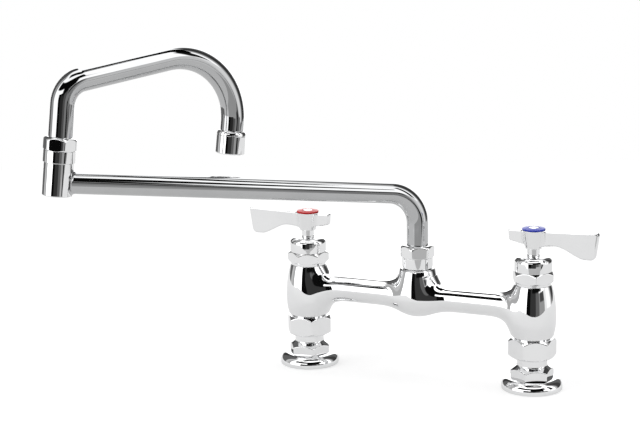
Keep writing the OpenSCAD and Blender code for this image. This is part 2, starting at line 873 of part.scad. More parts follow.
module upper_spout() {
  riser_end = spout_corner_h - first_tangent;
  color("silver")
    spout_frame() {
      translate([0, 0, spout_foot])
        sealed_foot(spout_d, riser_end - spout_foot, ring_steps);
      translate([0, 0, riser_end]) {
        pipe_bend(spout_d, spout_bend_r, first_turn);
        after_bend(spout_bend_r, first_turn) {
          pipe(spout_d, run_l, before = 1, after = 1);
          translate([0, 0, run_l]) {
            pipe_bend(spout_d, outlet_bend_r, last_turn);
            after_bend(outlet_bend_r, last_turn)
              pipe(spout_d, outlet_corner_h - last_tangent - adapter_foot_h, before = 1);
          }
        }
      }
    }
}

module spout_collar() {
  color("goldenrod")
    spout_frame()
      translate([0, 0, socket_top + bearing_t + clear])
        ring(socket_neck_d - 0.6, spout_d, collar_t);
}

module spout_orings() {
  color("dimgray")
    spout_frame()
      for (z = ring_steps)
        translate([0, 0, spout_foot + z])
          oring(spout_d, ring_t - slip_fit);
}

module outlet_frame() {
  spout_frame()
    translate([spout_l, 0, 0])
      children();
}

// Threaded collar brazed round the end of the upper tube, with a rounded shoulder
module outlet_adapter() {
  r_in = spout_d / 2;
  r_out = aerator_d / 2;
  color("silver")
    outlet_frame()
      rotate_extrude()
        polygon(concat([[r_in, adapter_foot_h], [adapter_thread_d / 2, adapter_foot_h],
                        [adapter_thread_d / 2, housing_top_h], [r_out, housing_top_h]],
          [for (i = [1 : 6]) [r_out - (r_out - r_in - 0.4) * (1 - cos(i * 15)),
                              housing_top_h + outlet_shoulder_h * sin(i * 15)]],
          [[r_in, shoulder_top_h]]));
}

module aerator_washer() {
  color("dimgray")
    outlet_frame()
      translate([0, 0, adapter_foot_h - washer_t])
        ring(insert_d - 0.4, insert_d - 6, washer_t);
}

// Round screen: a rim with crossing wires
module aerator_screen() {
  wire = 0.8;
  pitch = 3;
  reach = insert_d / 2 - 1;
  color("gray")
    outlet_frame()
      translate([0, 0, adapter_foot_h - washer_t - screen_t]) {
        ring(insert_d - 0.4, insert_d - 3, screen_t);
        intersection() {
          cylinder(r = reach, h = screen_t);
          for (a = [0, 90])
            rotate([0, 0, a])
              for (x = [-2 * pitch : pitch : 2 * pitch])
                translate([x - wire / 2, -reach, 0])
                  cube([wire, 2 * reach, screen_t]);
        }
      }
}

// Flow straightener: a cup with a ring of round channels
module aerator_insert() {
  channels = 8;
  channel_d = 3.2;
  color("whitesmoke")
    outlet_frame()
      translate([0, 0, outlet_h + mouth_lip_h])
        difference() {
          cylinder(d = insert_d, h = insert_h);
          translate([0, 0, -1])
            cylinder(d = channel_d, h = insert_h + 2);
          for (i = [0 : channels - 1])
            rotate([0, 0, i * 360 / channels])
              translate([insert_d / 2 - 4, 0, -1])
                cylinder(d = channel_d, h = insert_h + 2);
        }
}

module aerator_housing() {
  r = aerator_d / 2;
  color("silver")
    outlet_frame()
      translate([0, 0, outlet_h])
        difference() {
          rotate_extrude()
            polygon([[0, 0], [r - 1, 0], [r, 0.8], [r, aerator_h], [0, aerator_h]]);
          translate([0, 0, -1])
            cylinder(d = aerator_mouth_d, h = aerator_h);
          translate([0, 0, mouth_lip_h])
            cylinder(d = aerator_bore_d, h = aerator_h);
        }
}

bridge_body();
at_hot() color("silver") inlet(hot_inlet_turn);  // hot_inlet
at_cold() color("silver") inlet(cold_inlet_turn);  // cold_inlet
at_hot() color("dimgray") union_washer();  // hot_union_washer
at_cold() color("dimgray") union_washer();  // cold_union_washer
at_hot() color("silver") union_nut(hot_union_turn);  // hot_union_nut
at_cold() color("silver") union_nut(cold_union_turn);  // cold_union_nut
at_hot() color("dimgray") seat_seal();  // hot_seat_seal
at_cold() color("dimgray") seat_seal();  // cold_seat_seal
at_hot() color("white") fixed_disc();  // hot_fixed_disc
at_cold() color("white") fixed_disc();  // cold_fixed_disc
at_hot() color("ivory") moving_disc();  // hot_moving_disc
at_cold() color("ivory") moving_disc();  // cold_moving_disc
at_hot() color("silver") cartridge_body(hot_bonnet_turn);  // hot_cartridge_body
at_cold() color("silver") cartridge_body(cold_bonnet_turn);  // cold_cartridge_body
at_hot() color("dimgray") body_oring();  // hot_body_oring
at_cold() color("dimgray") body_oring();  // cold_body_oring
at_hot() color("silver") stem();  // hot_stem
at_cold() color("silver") stem();  // cold_stem
at_hot() color("dimgray") stem_orings();  // hot_stem_orings
at_cold() color("dimgray") stem_orings();  // cold_stem_orings
at_hot() color("silver") bonnet_cap();  // hot_bonnet_cap
at_cold() color("silver") bonnet_cap();  // cold_bonnet_cap
at_hot() rotate([0, 0, 180]) color("silver") handle();  // hot_handle
at_cold() color("silver") handle();  // cold_handle
at_hot() color("crimson") index_ring();  // hot_index_ring
at_cold() color("royalblue") index_ring();  // cold_index_ring
at_hot() color("silver") handle_screw();  // hot_handle_screw
at_cold() color("silver") handle_screw();  // cold_handle_screw
spout_bearing();
spout_nut();
lower_arm();
arm_collar();
arm_orings();
swivel_socket();
swivel_bearing();
swivel_nut();
upper_spout();
spout_collar();
spout_orings();
outlet_adapter();
aerator_washer();
aerator_screen();
aerator_insert();
aerator_housing();
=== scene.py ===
# %% [markdown]
# # A chrome deck-mount bridge faucet
# Two inlets stand on the deck. A union nut joins each of them to a swelling valve barrel, a bridge joins
# the barrels, and a bell-shaped boss in its middle carries a double-jointed spout. Nearly everything is
# polished chrome, so what the eye reads is the reflections, and the surfaces have to be smooth down to
# their small edges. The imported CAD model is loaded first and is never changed: it says where each piece
# is and how it moves. Each chrome piece is then made again as a fine, smooth surface in the same place.

# %% Load the fixed frame
import json
import math
import bpy
import numpy as np
from mathutils import Matrix, Vector


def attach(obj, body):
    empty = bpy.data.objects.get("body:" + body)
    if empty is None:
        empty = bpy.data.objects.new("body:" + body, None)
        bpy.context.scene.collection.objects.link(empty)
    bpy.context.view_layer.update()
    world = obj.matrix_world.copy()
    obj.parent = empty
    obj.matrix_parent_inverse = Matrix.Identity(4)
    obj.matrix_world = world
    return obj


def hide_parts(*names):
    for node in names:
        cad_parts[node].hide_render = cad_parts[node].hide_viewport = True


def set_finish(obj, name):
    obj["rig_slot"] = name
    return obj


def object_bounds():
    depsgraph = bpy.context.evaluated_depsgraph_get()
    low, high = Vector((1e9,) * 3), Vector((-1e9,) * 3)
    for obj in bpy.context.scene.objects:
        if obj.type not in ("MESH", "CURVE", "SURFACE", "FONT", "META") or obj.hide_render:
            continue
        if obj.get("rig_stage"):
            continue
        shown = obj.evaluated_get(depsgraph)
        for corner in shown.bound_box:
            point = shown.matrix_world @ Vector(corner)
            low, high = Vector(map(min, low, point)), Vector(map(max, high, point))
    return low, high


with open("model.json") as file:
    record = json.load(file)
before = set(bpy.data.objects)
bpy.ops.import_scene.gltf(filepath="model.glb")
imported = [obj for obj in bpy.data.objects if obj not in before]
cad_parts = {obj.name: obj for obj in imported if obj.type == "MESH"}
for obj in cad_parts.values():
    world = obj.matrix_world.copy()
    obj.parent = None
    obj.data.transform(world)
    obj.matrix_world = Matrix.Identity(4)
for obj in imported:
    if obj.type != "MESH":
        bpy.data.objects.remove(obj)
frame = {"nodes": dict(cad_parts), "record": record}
nodes = frame["nodes"]
cad_low, cad_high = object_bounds()
print("CAD nodes:", len(nodes), "box in mm:", [round(1000 * v, 1) for v in (cad_high - cad_low)])

# %% [markdown]
# ## Sizes
# The sizes are the CAD model's own, in millimetres, but for two heights: the caps end 3.1 mm higher and
# the index rings stand 0.8 mm higher, as the photograph shows them. Heights start at the deck. The two
# valves stand 203.2 mm apart, the hot one on the left. A size that several pieces share is written here
# once, so that pieces that meet in the real faucet meet here too.

# %% Sizes in millimetres
VALVE_X = 101.6
CROWN_Z, NECK_Z, UNION_Z, FOOT_Z, RIM_Z = 9.8, 20.0, 26.2, 44.7, 89.0
BRIDGE_Z, BRIDGE_R, SEAT_Z = 70.0, 11.5, 56.0
HEX_Z, CAP_Z, CAP_TOP_Z, HUB_Z, INDEX_Z = 91.0, 100.3, 113.1, 119.4, 134.8
BOSS_RIM_Z, BOSS_NECK_Z = 94.2, 101.7
ARM_CORNER_Z, ARM_R, ARM_L, ARM_ANGLE, ARM_SLOPE = 157.9, 9.0, 304.8, 224.0, 6.4
SPOUT_R, SPOUT_L, FOLD_ANGLE, SPOUT_SLOPE = 9.5, 152.4, 193.0, 14.0
CORNER_H, MOUTH_H, HOUSING_TOP_H, SHOULDER_TOP_H = 76.7, 22.8, 38.0, 42.0
SIDES = {"hot": -1, "cold": 1}
BORE_R, STEM_HOLE_R, TUBE_HOLE_R = 6.5, 5.25, 9.06
print("valves", 2 * VALVE_X, "mm apart; the bridge's axis is", BRIDGE_Z, "mm above the deck")

# %% [markdown]
# ## Surfaces as grids of points
# A turned part is a profile spun round an axis, a tube is a circle carried along a path, and a nut is a
# profile whose radius also depends on the angle. All of these are functions of two parameters, so numpy
# works each out as one grid of points. Blender's Spin or a curve with a bevel could make some of them,
# but a grid also gives control over where the points are close together, which the small rounded edges
# of polished metal need: a dead sharp edge has no highlight.

# %% Rounded profiles
def rounded(corners, radii, steps=5):
    """A polyline in which an arc takes each inner corner's place.
    For a corner p between directions a and b, the arc starts at p + a t and ends at p + b t, where
    t = radius / tan(half the angle between a and b), and its centre lies on their bisector.
    One more point just outside each end of the arc keeps the shading of the flat sides flat."""
    corners = [np.array(c, float) for c in corners]
    out = [corners[0]]
    for before, p, after, radius in zip(corners, corners[1:], corners[2:], radii):
        a, b = before - p, after - p
        la, lb = np.linalg.norm(a), np.linalg.norm(b)
        a, b = a / la, b / lb
        half = math.acos(max(-1, min(1, a @ b))) / 2
        reach = min(radius / math.tan(half), 0.42 * la, 0.42 * lb)
        if reach < 1e-4:
            out.append(p)
            continue
        centre = p + (a + b) / np.linalg.norm(a + b) * reach / math.cos(half)
        start, end = p + a * reach - centre, p + b * reach - centre
        sweep = math.pi - 2 * half
        t = np.linspace(0, 1, steps)[:, None]
        arc = (np.sin((1 - t) * sweep) * start + np.sin(t * sweep) * end) / math.sin(sweep)
        out += [p + a * reach * 1.2, *(centre + arc), p + b * reach * 1.2]
    return np.array(out + [corners[-1]])

def straight(start, end, count):
    """Points from start to end at equal distances."""
    return np.linspace(start, end, count)

def spin(profile, sides=160):
    """Grid of a turned surface: the point (radius, height) goes to
    (radius cos angle, radius sin angle, height)."""
    angle = np.linspace(0, 2 * np.pi, sides, endpoint=False)
    r, z = np.array(profile, float).T
    return np.stack([r[:, None] * np.cos(angle), r[:, None] * np.sin(angle),
                     np.repeat(z[:, None], sides, 1)], -1)

print("a rounded right angle has", len(rounded([(0, 0), (1, 0), (1, 1)], [0.2])), "points")

# %% Placing grids and closing them
def turn(axis, degrees):
    """Turns by that angle about the axis X, Y or Z."""
    return np.array(Matrix.Rotation(math.radians(degrees), 4, axis))

def move(x=0.0, y=0.0, z=0.0):
    """Moves by (x, y, z)."""
    return np.array(Matrix.Translation((x, y, z)))

def placed(grid, *matrices):
    """The grid's points times the product of the matrices."""
    m = np.eye(4)
    for step in matrices:
        m = m @ step
    return grid @ m[:3, :3].T + m[:3, 3]

def shell(grid, ring=False):
    """Points, quads and triangles of a grid whose columns close round. Rows close round too if ring
    is true; otherwise a point at the mean of the first and of the last row closes each end.
    All faces are turned round if the signed volume comes out negative, so that they point outwards."""
    rows, cols = grid.shape[:2]
    points = grid.reshape(-1, 3)
    i, j = np.meshgrid(np.arange(rows if ring else rows - 1), np.arange(cols), indexing="ij")
    i2, j2 = (i + 1) % rows, (j + 1) % cols
    quads = np.stack([i * cols + j, i * cols + j2, i2 * cols + j2, i2 * cols + j], -1).reshape(-1, 4)
    tris = np.zeros((0, 3), int)
    if not ring:
        points = np.vstack([points, grid[0].mean(0), grid[-1].mean(0)])
        k, base = np.arange(cols), (rows - 1) * cols
        k2 = (k + 1) % cols
        tris = np.vstack([np.stack([k2, k, np.full(cols, rows * cols)], -1),
                          np.stack([base + k, base + k2, np.full(cols, rows * cols + 1)], -1)])
    a, b, c, d = (points[quads[:, n]] for n in range(4))
    volume = np.einsum("ij,ij->", a, np.cross(b, c)) + np.einsum("ij,ij->", a, np.cross(c, d))
    if volume < 0:
        quads, tris = quads[:, ::-1], tris[:, ::-1]
    return points, quads, tris

def capped(grid, *matrices):
    """Shell of the placed grid, closed by a point at each end."""
    return shell(placed(grid, *matrices))

def looped(grid, *matrices):
    """Shell of the placed grid, whose last row joins its first."""
    return shell(placed(grid, *matrices), ring=True)

print("faces of a capped 3 by 4 grid:", [len(f) for f in capped(spin([(1, 0), (1, 1), (1, 2)], 4))[1:]])

# %% One Blender object from closed shells
made = {}
def make_piece(name, body, slot, stands_for, shells, normals=None):
    """Writes the shells' points and faces, in metres, into one mesh that rides on its CAD body.
    normals, where given, are the exact ones of the first shell's points."""
    counts = np.cumsum([0] + [len(s[0]) for s in shells])
    points = np.vstack([s[0] for s in shells]) * 0.001
    quads = np.vstack([s[1] + base for s, base in zip(shells, counts)])
    tris = np.vstack([s[2] + base for s, base in zip(shells, counts)])
    starts = np.concatenate([4 * np.arange(len(quads)), 4 * len(quads) + 3 * np.arange(len(tris))])
    mesh = bpy.data.meshes.new(name)
    mesh.vertices.add(len(points))
    mesh.loops.add(quads.size + tris.size)
    mesh.polygons.add(len(starts))
    mesh.vertices.foreach_set("co", points.ravel())
    mesh.loops.foreach_set("vertex_index", np.concatenate([quads.ravel(), tris.ravel()]).astype(np.int32))
    mesh.polygons.foreach_set("loop_start", starts.astype(np.int32))
    mesh.update(calc_edges=True)
    mesh.shade_smooth()
    if normals is not None:
        exact = np.zeros((len(points), 3))
        exact[:len(normals)] = normals
        mesh.normals_split_custom_set_from_vertices(exact.tolist())
    piece = bpy.data.objects.new(name, mesh)
    bpy.context.scene.collection.objects.link(piece)
    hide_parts(*stands_for)
    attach(piece, body)
    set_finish(piece, slot)
    made[name] = piece
    print(name, "has", 2 * len(quads) + len(tris), "triangles")

# %% [markdown]
# ## The valve barrels
# Each barrel is cast brass, turned outside. It swells to 38.6 mm a third of the way up and draws in to a
# 30.8 mm rim. A power curve each way from the widest place gives that outline from three diameters. Its
# threaded neck shows for 1.4 mm above the union nut and makes the dark groove seen there.

# %% Barrel outline and surface
BELLY, BARREL_H, BARREL_POWER = 15.3, 44.3, 2.3
WIDE_R, BARREL_FOOT_R, BARREL_RIM_R, THREAD_R = 19.3, 17.1, 15.4, 14.9

def barrel_radius(h):
    """Widest radius, less the drop to the foot (or rim) times (distance from the widest place /
    its length) to the power 2.3. h is the height above the foot."""
    below = (WIDE_R - BARREL_FOOT_R) * np.clip((BELLY - h) / BELLY, 0, None) ** BARREL_POWER
    above = (WIDE_R - BARREL_RIM_R) * np.clip((h - BELLY) / (BARREL_H - BELLY), 0, None) ** BARREL_POWER
    return WIDE_R - below - above

heights = np.linspace(1.3, BARREL_H - 0.5, 48)
flank = np.stack([barrel_radius(heights), FOOT_Z + heights], -1)
barrel_profile = np.vstack([
    rounded([(BORE_R, 33.6), (THREAD_R, 33.6), (THREAD_R, FOOT_Z), (BARREL_FOOT_R, FOOT_Z), flank[0]],
            [0.3, 0.2, 0.8]),
    flank[1:-1],
    rounded([flank[-1], (BARREL_RIM_R, RIM_Z), (12.2, RIM_Z)], [0.35]),
    [(12.0, RIM_Z - 0.2), (12.0, SEAT_Z + 0.2), (11.8, SEAT_Z), (BORE_R, SEAT_Z)],
])
barrels = [looped(spin(barrel_profile, 144), move(sign * VALVE_X)) for sign in SIDES.values()]
print("barrel radius at the bridge's height:", round(float(barrel_radius(BRIDGE_Z - FOOT_Z)), 2), "mm")

# %% [markdown]
# ## The bridge and the boss
# The bridge tube runs into each barrel with a wide sweep below and a tight one above, and into the boss
# with a fillet all round. Those are cast forms, so no two primitives meet in an edge. A subdivision cage
# would take long to fit. Here each form is written as a distance, a smooth union blends the distances,
# and rays from the bridge's axis find where the blend is zero. The turned forms are also there as exact
# surfaces, and the blend rises out of them without a line: its vertex normals are the distance's own
# gradient, so both surfaces reflect alike where they run together.

# %% Distances to the forms of the bridge
BELL_R, BELL_DROP, BELL_RISE, BELL_POWER, BELL_RIM_R = 18.0, 16.4, 24.2, 2.5, 14.5

def bell_radius(h):
    """Radius of the boss above the bridge's axis: its widest radius less a share of the drop that
    grows with (height / rise) to the power 2.5."""
    return BELL_R - (BELL_R - BELL_RIM_R) * np.clip(h / BELL_RISE, 0, 1) ** BELL_POWER

def revolved_distance(x, y, h, centre, radius_of, top):
    """(distance from the axis - radius at that height) times the cosine of the outline's slope."""
    rho = np.hypot(x - centre, y)
    hc = np.clip(h, 0, top)
    slope = (radius_of(np.clip(hc + 0.05, 0, top)) - radius_of(np.clip(hc - 0.05, 0, top))) / 0.1
    return (rho - radius_of(hc)) / np.sqrt(1 + slope ** 2)

def bell_distance(x, y, z):
    """Above the axis a turned form; below it half an ellipsoid, where s = ((rho/a)^2 + (z/b)^2)^(1/2)
    is 1 on the surface and (s - 1) / |gradient of s| is near the distance."""
    upper = revolved_distance(x, y, z, 0.0, bell_radius, BELL_RISE)
    rho, drop = np.hypot(x, y), np.clip(-z, 0, None)
    s = np.hypot(rho / BELL_R, drop / BELL_DROP) + 1e-6
    gradient = np.hypot(rho / BELL_R ** 2, drop / BELL_DROP ** 2) / s
    lower = (s - 1) / (gradient + 1e-6)
    return np.maximum(np.where(z > 0, upper, lower), z - (BELL_RISE - 1.5))

def smooth_union(a, b, k):
    """The smaller distance, less h^3 k / 6, where h = 1 - |a - b| / k and not under 0."""
    h = np.clip(1 - np.abs(a - b) / k, 0, None)
    return np.minimum(a, b) - h ** 3 * k / 6

BRIDGE_END = 86.5
SUNK = 0.003  # where they run together the web lies this far inside the turned surfaces, which show

def bridge_distance(x, y, z):
    """Tube, boss and barrel in one distance. Each blend is wider below than above."""
    rho, past = np.hypot(y, z), np.clip(x - BRIDGE_END, 0, None)
    tube = np.where(past > 0, np.hypot(past, np.clip(rho - BRIDGE_R, 0, None)), rho - BRIDGE_R)
    h = z + BRIDGE_Z - FOOT_Z
    barrel = revolved_distance(x, y, h, VALVE_X, barrel_radius, BARREL_H) + SUNK
    d = smooth_union(tube, bell_distance(x, y, z) + SUNK, np.clip(18 - z / 3, 14, 22))
    d = smooth_union(d, barrel, np.clip(18 - z / 2, 12, 24))
    return np.maximum(d, np.maximum(z - (RIM_Z - 0.4 - BRIDGE_Z), FOOT_Z + 0.6 - BRIDGE_Z - z))

print("the bridge's surface is", round(-float(bridge_distance(46.0, 0.0, 0.0)), 2), "mm from its axis")

# %% Rays that find the bridge's surface
RAYS, AROUND, RAY_TOP, FIRST_STEP, STEP = 176, 168, 22.0, 2.0, 0.4
share = np.linspace(0, 1, 13)
ray_foot = np.interp(np.linspace(0, 1, RAYS), share, [0, 1.5, 3.5, 7, 12, 19, 30, 46, 61, 71, 80, 90, 99.5])
ray_head = np.interp(np.linspace(0, 1, RAYS), share, [0, 5, 11, 17, 22, 26, 33, 46, 58, 66, 74, 86, 99.5])
around = np.linspace(0, 2 * np.pi, AROUND, endpoint=False)

def on_ray(rho):
    """Point at distance rho from the bridge's axis on each ray: x goes straight from the ray's foot
    to its head, and y and z go out at the ray's own angle."""
    x = ray_foot[:, None] + (ray_head - ray_foot)[:, None] * rho / RAY_TOP
    return x, rho * np.cos(around), rho * np.sin(around)

low = np.full((RAYS, AROUND), FIRST_STEP)
found = np.zeros_like(low, bool)
for step in np.arange(FIRST_STEP, 34.0, STEP):
    outside = bridge_distance(*on_ray(np.full_like(low, step))) > 0
    found |= outside
    low = np.where(found, low, step)
high = low + STEP
for halving in range(22):
    middle = (low + high) / 2
    outside = bridge_distance(*on_ray(middle)) > 0
    low, high = np.where(outside, low, middle), np.where(outside, middle, high)
half_bridge = np.stack(on_ray(low), -1)
print("rays that found the surface:", int(found.sum()), "of", found.size)

# %% The bridge's grid and its exact normals
eps = 0.01 * np.eye(3)
slopes = np.stack([bridge_distance(*np.moveaxis(half_bridge + e, -1, 0))
                   - bridge_distance(*np.moveaxis(half_bridge - e, -1, 0)) for e in eps], -1)
slopes /= np.linalg.norm(slopes, axis=-1, keepdims=True)
FLIP = np.array([-1, 1, 1])
inner_end = half_bridge[-1:] * np.array([1, 0.6, 0.6])
slopes[0, :, 0] = 0
whole_bridge = np.concatenate([inner_end * FLIP, half_bridge[:0:-1] * FLIP, half_bridge, inner_end])
bridge_normals = np.concatenate([0 * inner_end, slopes[:0:-1] * FLIP, slopes, 0 * inner_end]).reshape(-1, 3)
web = shell(whole_bridge + np.array([0, 0, BRIDGE_Z]))
print("bridge grid:", whole_bridge.shape[:2], "reaches x =", round(float(half_bridge[..., 0].max()), 1))

# %% The boss as a turned surface, and the whole casting
t = np.linspace(0.01, np.pi / 2, 30)
bowl = np.stack([BELL_R * np.sin(t), BRIDGE_Z - BELL_DROP * np.cos(t)], -1)
rises = np.linspace(0.6, BELL_RISE - 0.6, 28)
bell_flank = np.stack([bell_radius(rises), BRIDGE_Z + rises], -1)
boss_profile = np.vstack([
    bowl, bell_flank,
    rounded([bell_flank[-1], (BELL_RIM_R, BOSS_RIM_Z), (11.8, BOSS_RIM_Z), (11.8, BOSS_NECK_Z),
             (TUBE_HOLE_R, BOSS_NECK_Z), (TUBE_HOLE_R, BRIDGE_Z)], [0.4, 0.2, 0.2, 0.2]),
])
make_piece("bridge_casting", "base", "chrome_cast", ["bridge_body"],
           [web, *barrels, capped(spin(boss_profile, 144))], bridge_normals)

# %% [markdown]
# ## Hexagons
# A nut starts as hexagonal bar and its ends are turned down on a lathe, which leaves the arcs where each
# flat runs into the turned end. So its radius at an angle and a height is the smaller of the hexagon's
# and the turning tool's, blended over a fraction of a millimetre as polishing does.

# %% Hexagonal surfaces
def hexagon_angles(flats, corner_r, on_flat=26, on_corner=10):
    """Angles of one turn: evenly over each flat, with one more close to its ends, then over each corner."""
    split = math.atan((flats / 2 - corner_r) * math.tan(math.pi / 6) / (flats / 2))
    flat = np.concatenate([[-split], np.linspace(-0.96, 0.96, on_flat) * split])
    corner = np.linspace(split, math.pi / 3 - split, on_corner, endpoint=False)
    sector = np.concatenate([flat, corner])
    return (np.arange(6)[:, None] * math.pi / 3 + math.pi / 6 + sector).ravel()

def hexagon_radius(angle, flats, corner_r):
    """With f the angle from the nearest flat's middle, a flat is at (flats / 2) / cos f. A corner is an
    arc about c: it is at c cos d + sqrt(r^2 - c^2 sin^2 d), where d = 30 degrees - f."""
    f = np.abs(np.mod(angle, math.pi / 3) - math.pi / 6)
    split = math.atan((flats / 2 - corner_r) * math.tan(math.pi / 6) / (flats / 2))
    c, d = (flats / 2 - corner_r) / math.cos(math.pi / 6), math.pi / 6 - f
    arc = c * np.cos(d) + np.sqrt(np.clip(corner_r ** 2 - (c * np.sin(d)) ** 2, 0, None))
    return np.where(f < split, flats / 2 / np.cos(f), arc)

def hexagon_grid(flats, outline, inside, degrees, corner_r=0.5, edge=0.3):
    """Rows of an outline (tool radius, height) whose radius is the tool's or the hexagon's, whichever is
    smaller, less h^3 edge / 6 near where they are equal. inside is the rest of the profile, turned."""
    angle = hexagon_angles(flats, corner_r)
    tool, z = np.array(outline, float).T
    r = smooth_union(hexagon_radius(angle, flats, corner_r)[None, :], tool[:, None], edge)
    in_r, in_z = np.array(inside, float).T
    r = np.concatenate([r, np.repeat(in_r[:, None], len(angle), 1)])
    z = np.concatenate([z, in_z])[:, None]
    a = angle + math.radians(degrees)
    return np.stack([r * np.cos(a), r * np.sin(a), np.broadcast_to(z, r.shape)], -1)

print("corner radius of a 31.7 mm hexagon:", round(float(hexagon_radius(np.zeros(1), 31.7, 0.5)[0]), 2), "mm")

# %% [markdown]
# ## The inlets
# A round flange sits on the deck: a cushion that is a quarter of an ellipse in section. On it stands the
# hexagon by which the inlet is held while it is tightened from below. The hexagon's top is turned to a
# cone that runs into a plain neck, and the neck goes up into the union nut, where a collar holds it.
# Cutting the cone with a Boolean would leave thin ragged faces along the arcs, and chrome shows each of
# them, so cone and flats are one surface here.

# %% Flange, hexagon and neck
t = np.linspace(0, np.pi / 2, 26)
cushion = np.stack([16.65 + 8.75 * np.cos(t), 2.4 + 7.4 * np.sin(t)], -1)
flange_profile = np.vstack([rounded([(9.2, 0.0), (25.4, 0.0), (25.4, 1.6)], [0.35]), cushion,
                            [(14.0, CROWN_Z), (9.2, CROWN_Z)]])
inlet_cone = np.vstack([[(19.2, 3.0), (19.2, 9.0), (19.2, 14.2)],
                        straight((19.2, 14.93), (14.9, 18.13), 26),
                        rounded([(14.8, 18.21), (12.4, NECK_Z), (12.4, 25.0)], [1.6], 8)])
inlet_inside = rounded([(12.4, 25.2), (12.4, 29.0), (14.9, 29.0), (14.9, 32.0), (BORE_R, 32.0),
                        (BORE_R, 16.0), (9.2, 15.8), (9.2, 3.0)], [0.2] * 6, 3)
inlet_turns = {"hot": 3, "cold": 29}
for side, sign in SIDES.items():
    hexagon = hexagon_grid(31.7, inlet_cone, inlet_inside, inlet_turns[side])
    make_piece(f"{side}_inlet_fitting", "base", "chrome_cast", [f"{side}_inlet"],
               [looped(grid, move(sign * VALVE_X)) for grid in (spin(flange_profile, 192), hexagon)])

# %% [markdown]
# ## The union nuts
# The union nut draws the inlet's collar up against the barrel. Its foot is turned to a deep cone, so
# that it looks like a cup, and its top is turned less, round the threaded mouth. A six-sided cylinder
# with a bevel would have straight edges where the real nut has arcs, so it is a hexagon surface too.

# %% Union nuts
UNION_H = 17.1
union_outline = np.vstack([
    rounded([(14.2, 0.0), (15.32, 0.0), (16.0, 0.41)], [0.3], 4)[1:],
    straight((16.2, 0.53), (21.4, 3.65), 30), [(21.4, 5.0), (21.4, 9.0), (21.4, 12.6)],
    straight((21.4, 13.32), (17.9, 16.82), 22),
    rounded([(17.8, 16.92), (17.62, UNION_H), (16.0, UNION_H)], [0.2], 4)])
union_inside = rounded([(15.6, UNION_H), (15.0, UNION_H), (15.0, 2.8), (12.5, 2.8), (12.5, 0.0), (13.6, 0.0)],
                       [0.5, 0.2, 0.2, 0.3], 3)
union_turns = {"hot": 1, "cold": 26}
for side, sign in SIDES.items():
    nut = hexagon_grid(35.2, union_outline, union_inside, union_turns[side], 0.7)
    make_piece(f"{side}_union", "base", "chrome_turned", [f"{side}_union_nut"],
               [looped(nut, move(sign * VALVE_X, 0, UNION_Z))])

# %% [markdown]
# ## Valve heads
# Above each barrel come the cartridge's thin collar and its hexagon, and a cap with a rolled edge
# through which the stem passes. The stem turns and the cap doesn't, so they ride on different bodies.
# All are turned parts, so each is a profile. The rolled edge is a quarter of an ellipse: a bevel would
# make it part of a circle, whose highlight is narrower than the real one's.

# %% Cartridge bodies and caps
bonnet_outline = np.vstack([
    rounded([(14.4, HEX_Z), (15.5, HEX_Z), (15.9, HEX_Z + 0.33)], [0.15], 3)[1:],
    straight((16.0, 91.42), (18.5, 93.5), 20), [(18.5, 94.5), (18.5, 96.5)],
    straight((18.5, 97.43), (15.7, 100.11), 20),
    rounded([(15.65, 100.16), (15.5, CAP_Z), (14.4, CAP_Z)], [0.12], 3)])
shank_profile = rounded([(10.6, 56.6), (11.9, 56.6), (11.9, 88.95), (15.1, 89.05), (15.1, 91.2), (11.9, 91.3),
                         (11.9, 107.0), (6.05, 107.0), (6.05, 77.0), (10.6, 77.0), (10.6, 56.6)],
                        [0.2, 0.1, 0.2, 0.2, 0.1, 0.2, 0.2, 0.2, 0.2], 3)
t = np.linspace(0, np.pi / 2, 16)
rolled_edge = np.stack([8.6 + 6.8 * np.cos(t), CAP_TOP_Z - 4.9 + 4.9 * np.sin(t)], -1)
cap_profile = np.vstack([
    rounded([(12.15, CAP_Z), (15.4, CAP_Z), (15.4, CAP_Z + 3)], [0.3]), rolled_edge,
    rounded([(8.0, CAP_TOP_Z), (5.45, CAP_TOP_Z), (5.45, 107.15), (12.15, 107.1)], [0.4, 0.2], 3)])
bonnet_turns = {"hot": 22, "cold": 55}
for side, sign in SIDES.items():
    at = move(sign * VALVE_X)
    hexagon = hexagon_grid(31.0, bonnet_outline, [(11.4, CAP_Z), (11.2, HEX_Z)], bonnet_turns[side])
    make_piece(f"{side}_cartridge", "base", "chrome_turned", [f"{side}_cartridge_body"],
               [looped(spin(shank_profile[:-1]), at), looped(hexagon, at)])
    make_piece(f"{side}_cap", "base", "chrome_turned", [f"{side}_bonnet_cap"],
               [looped(spin(cap_profile), at)])

# %% [markdown]
# ## Stems and handles
# A stem ends below in a bar that drives the ceramic disc and above in a square for the handle. The
# handle is one casting: a tapered hub, a short tail and a blade that grows deeper outwards. Its top
# rises to the tip, its underside is arched, both ends lean, and it swells to a fillet where it leaves the
# hub. It could be modelled from a cube with a subdivision surface, which softens its crisp edges too
# much. A row of upright rounded sections along its length keeps each edge at its own radius.

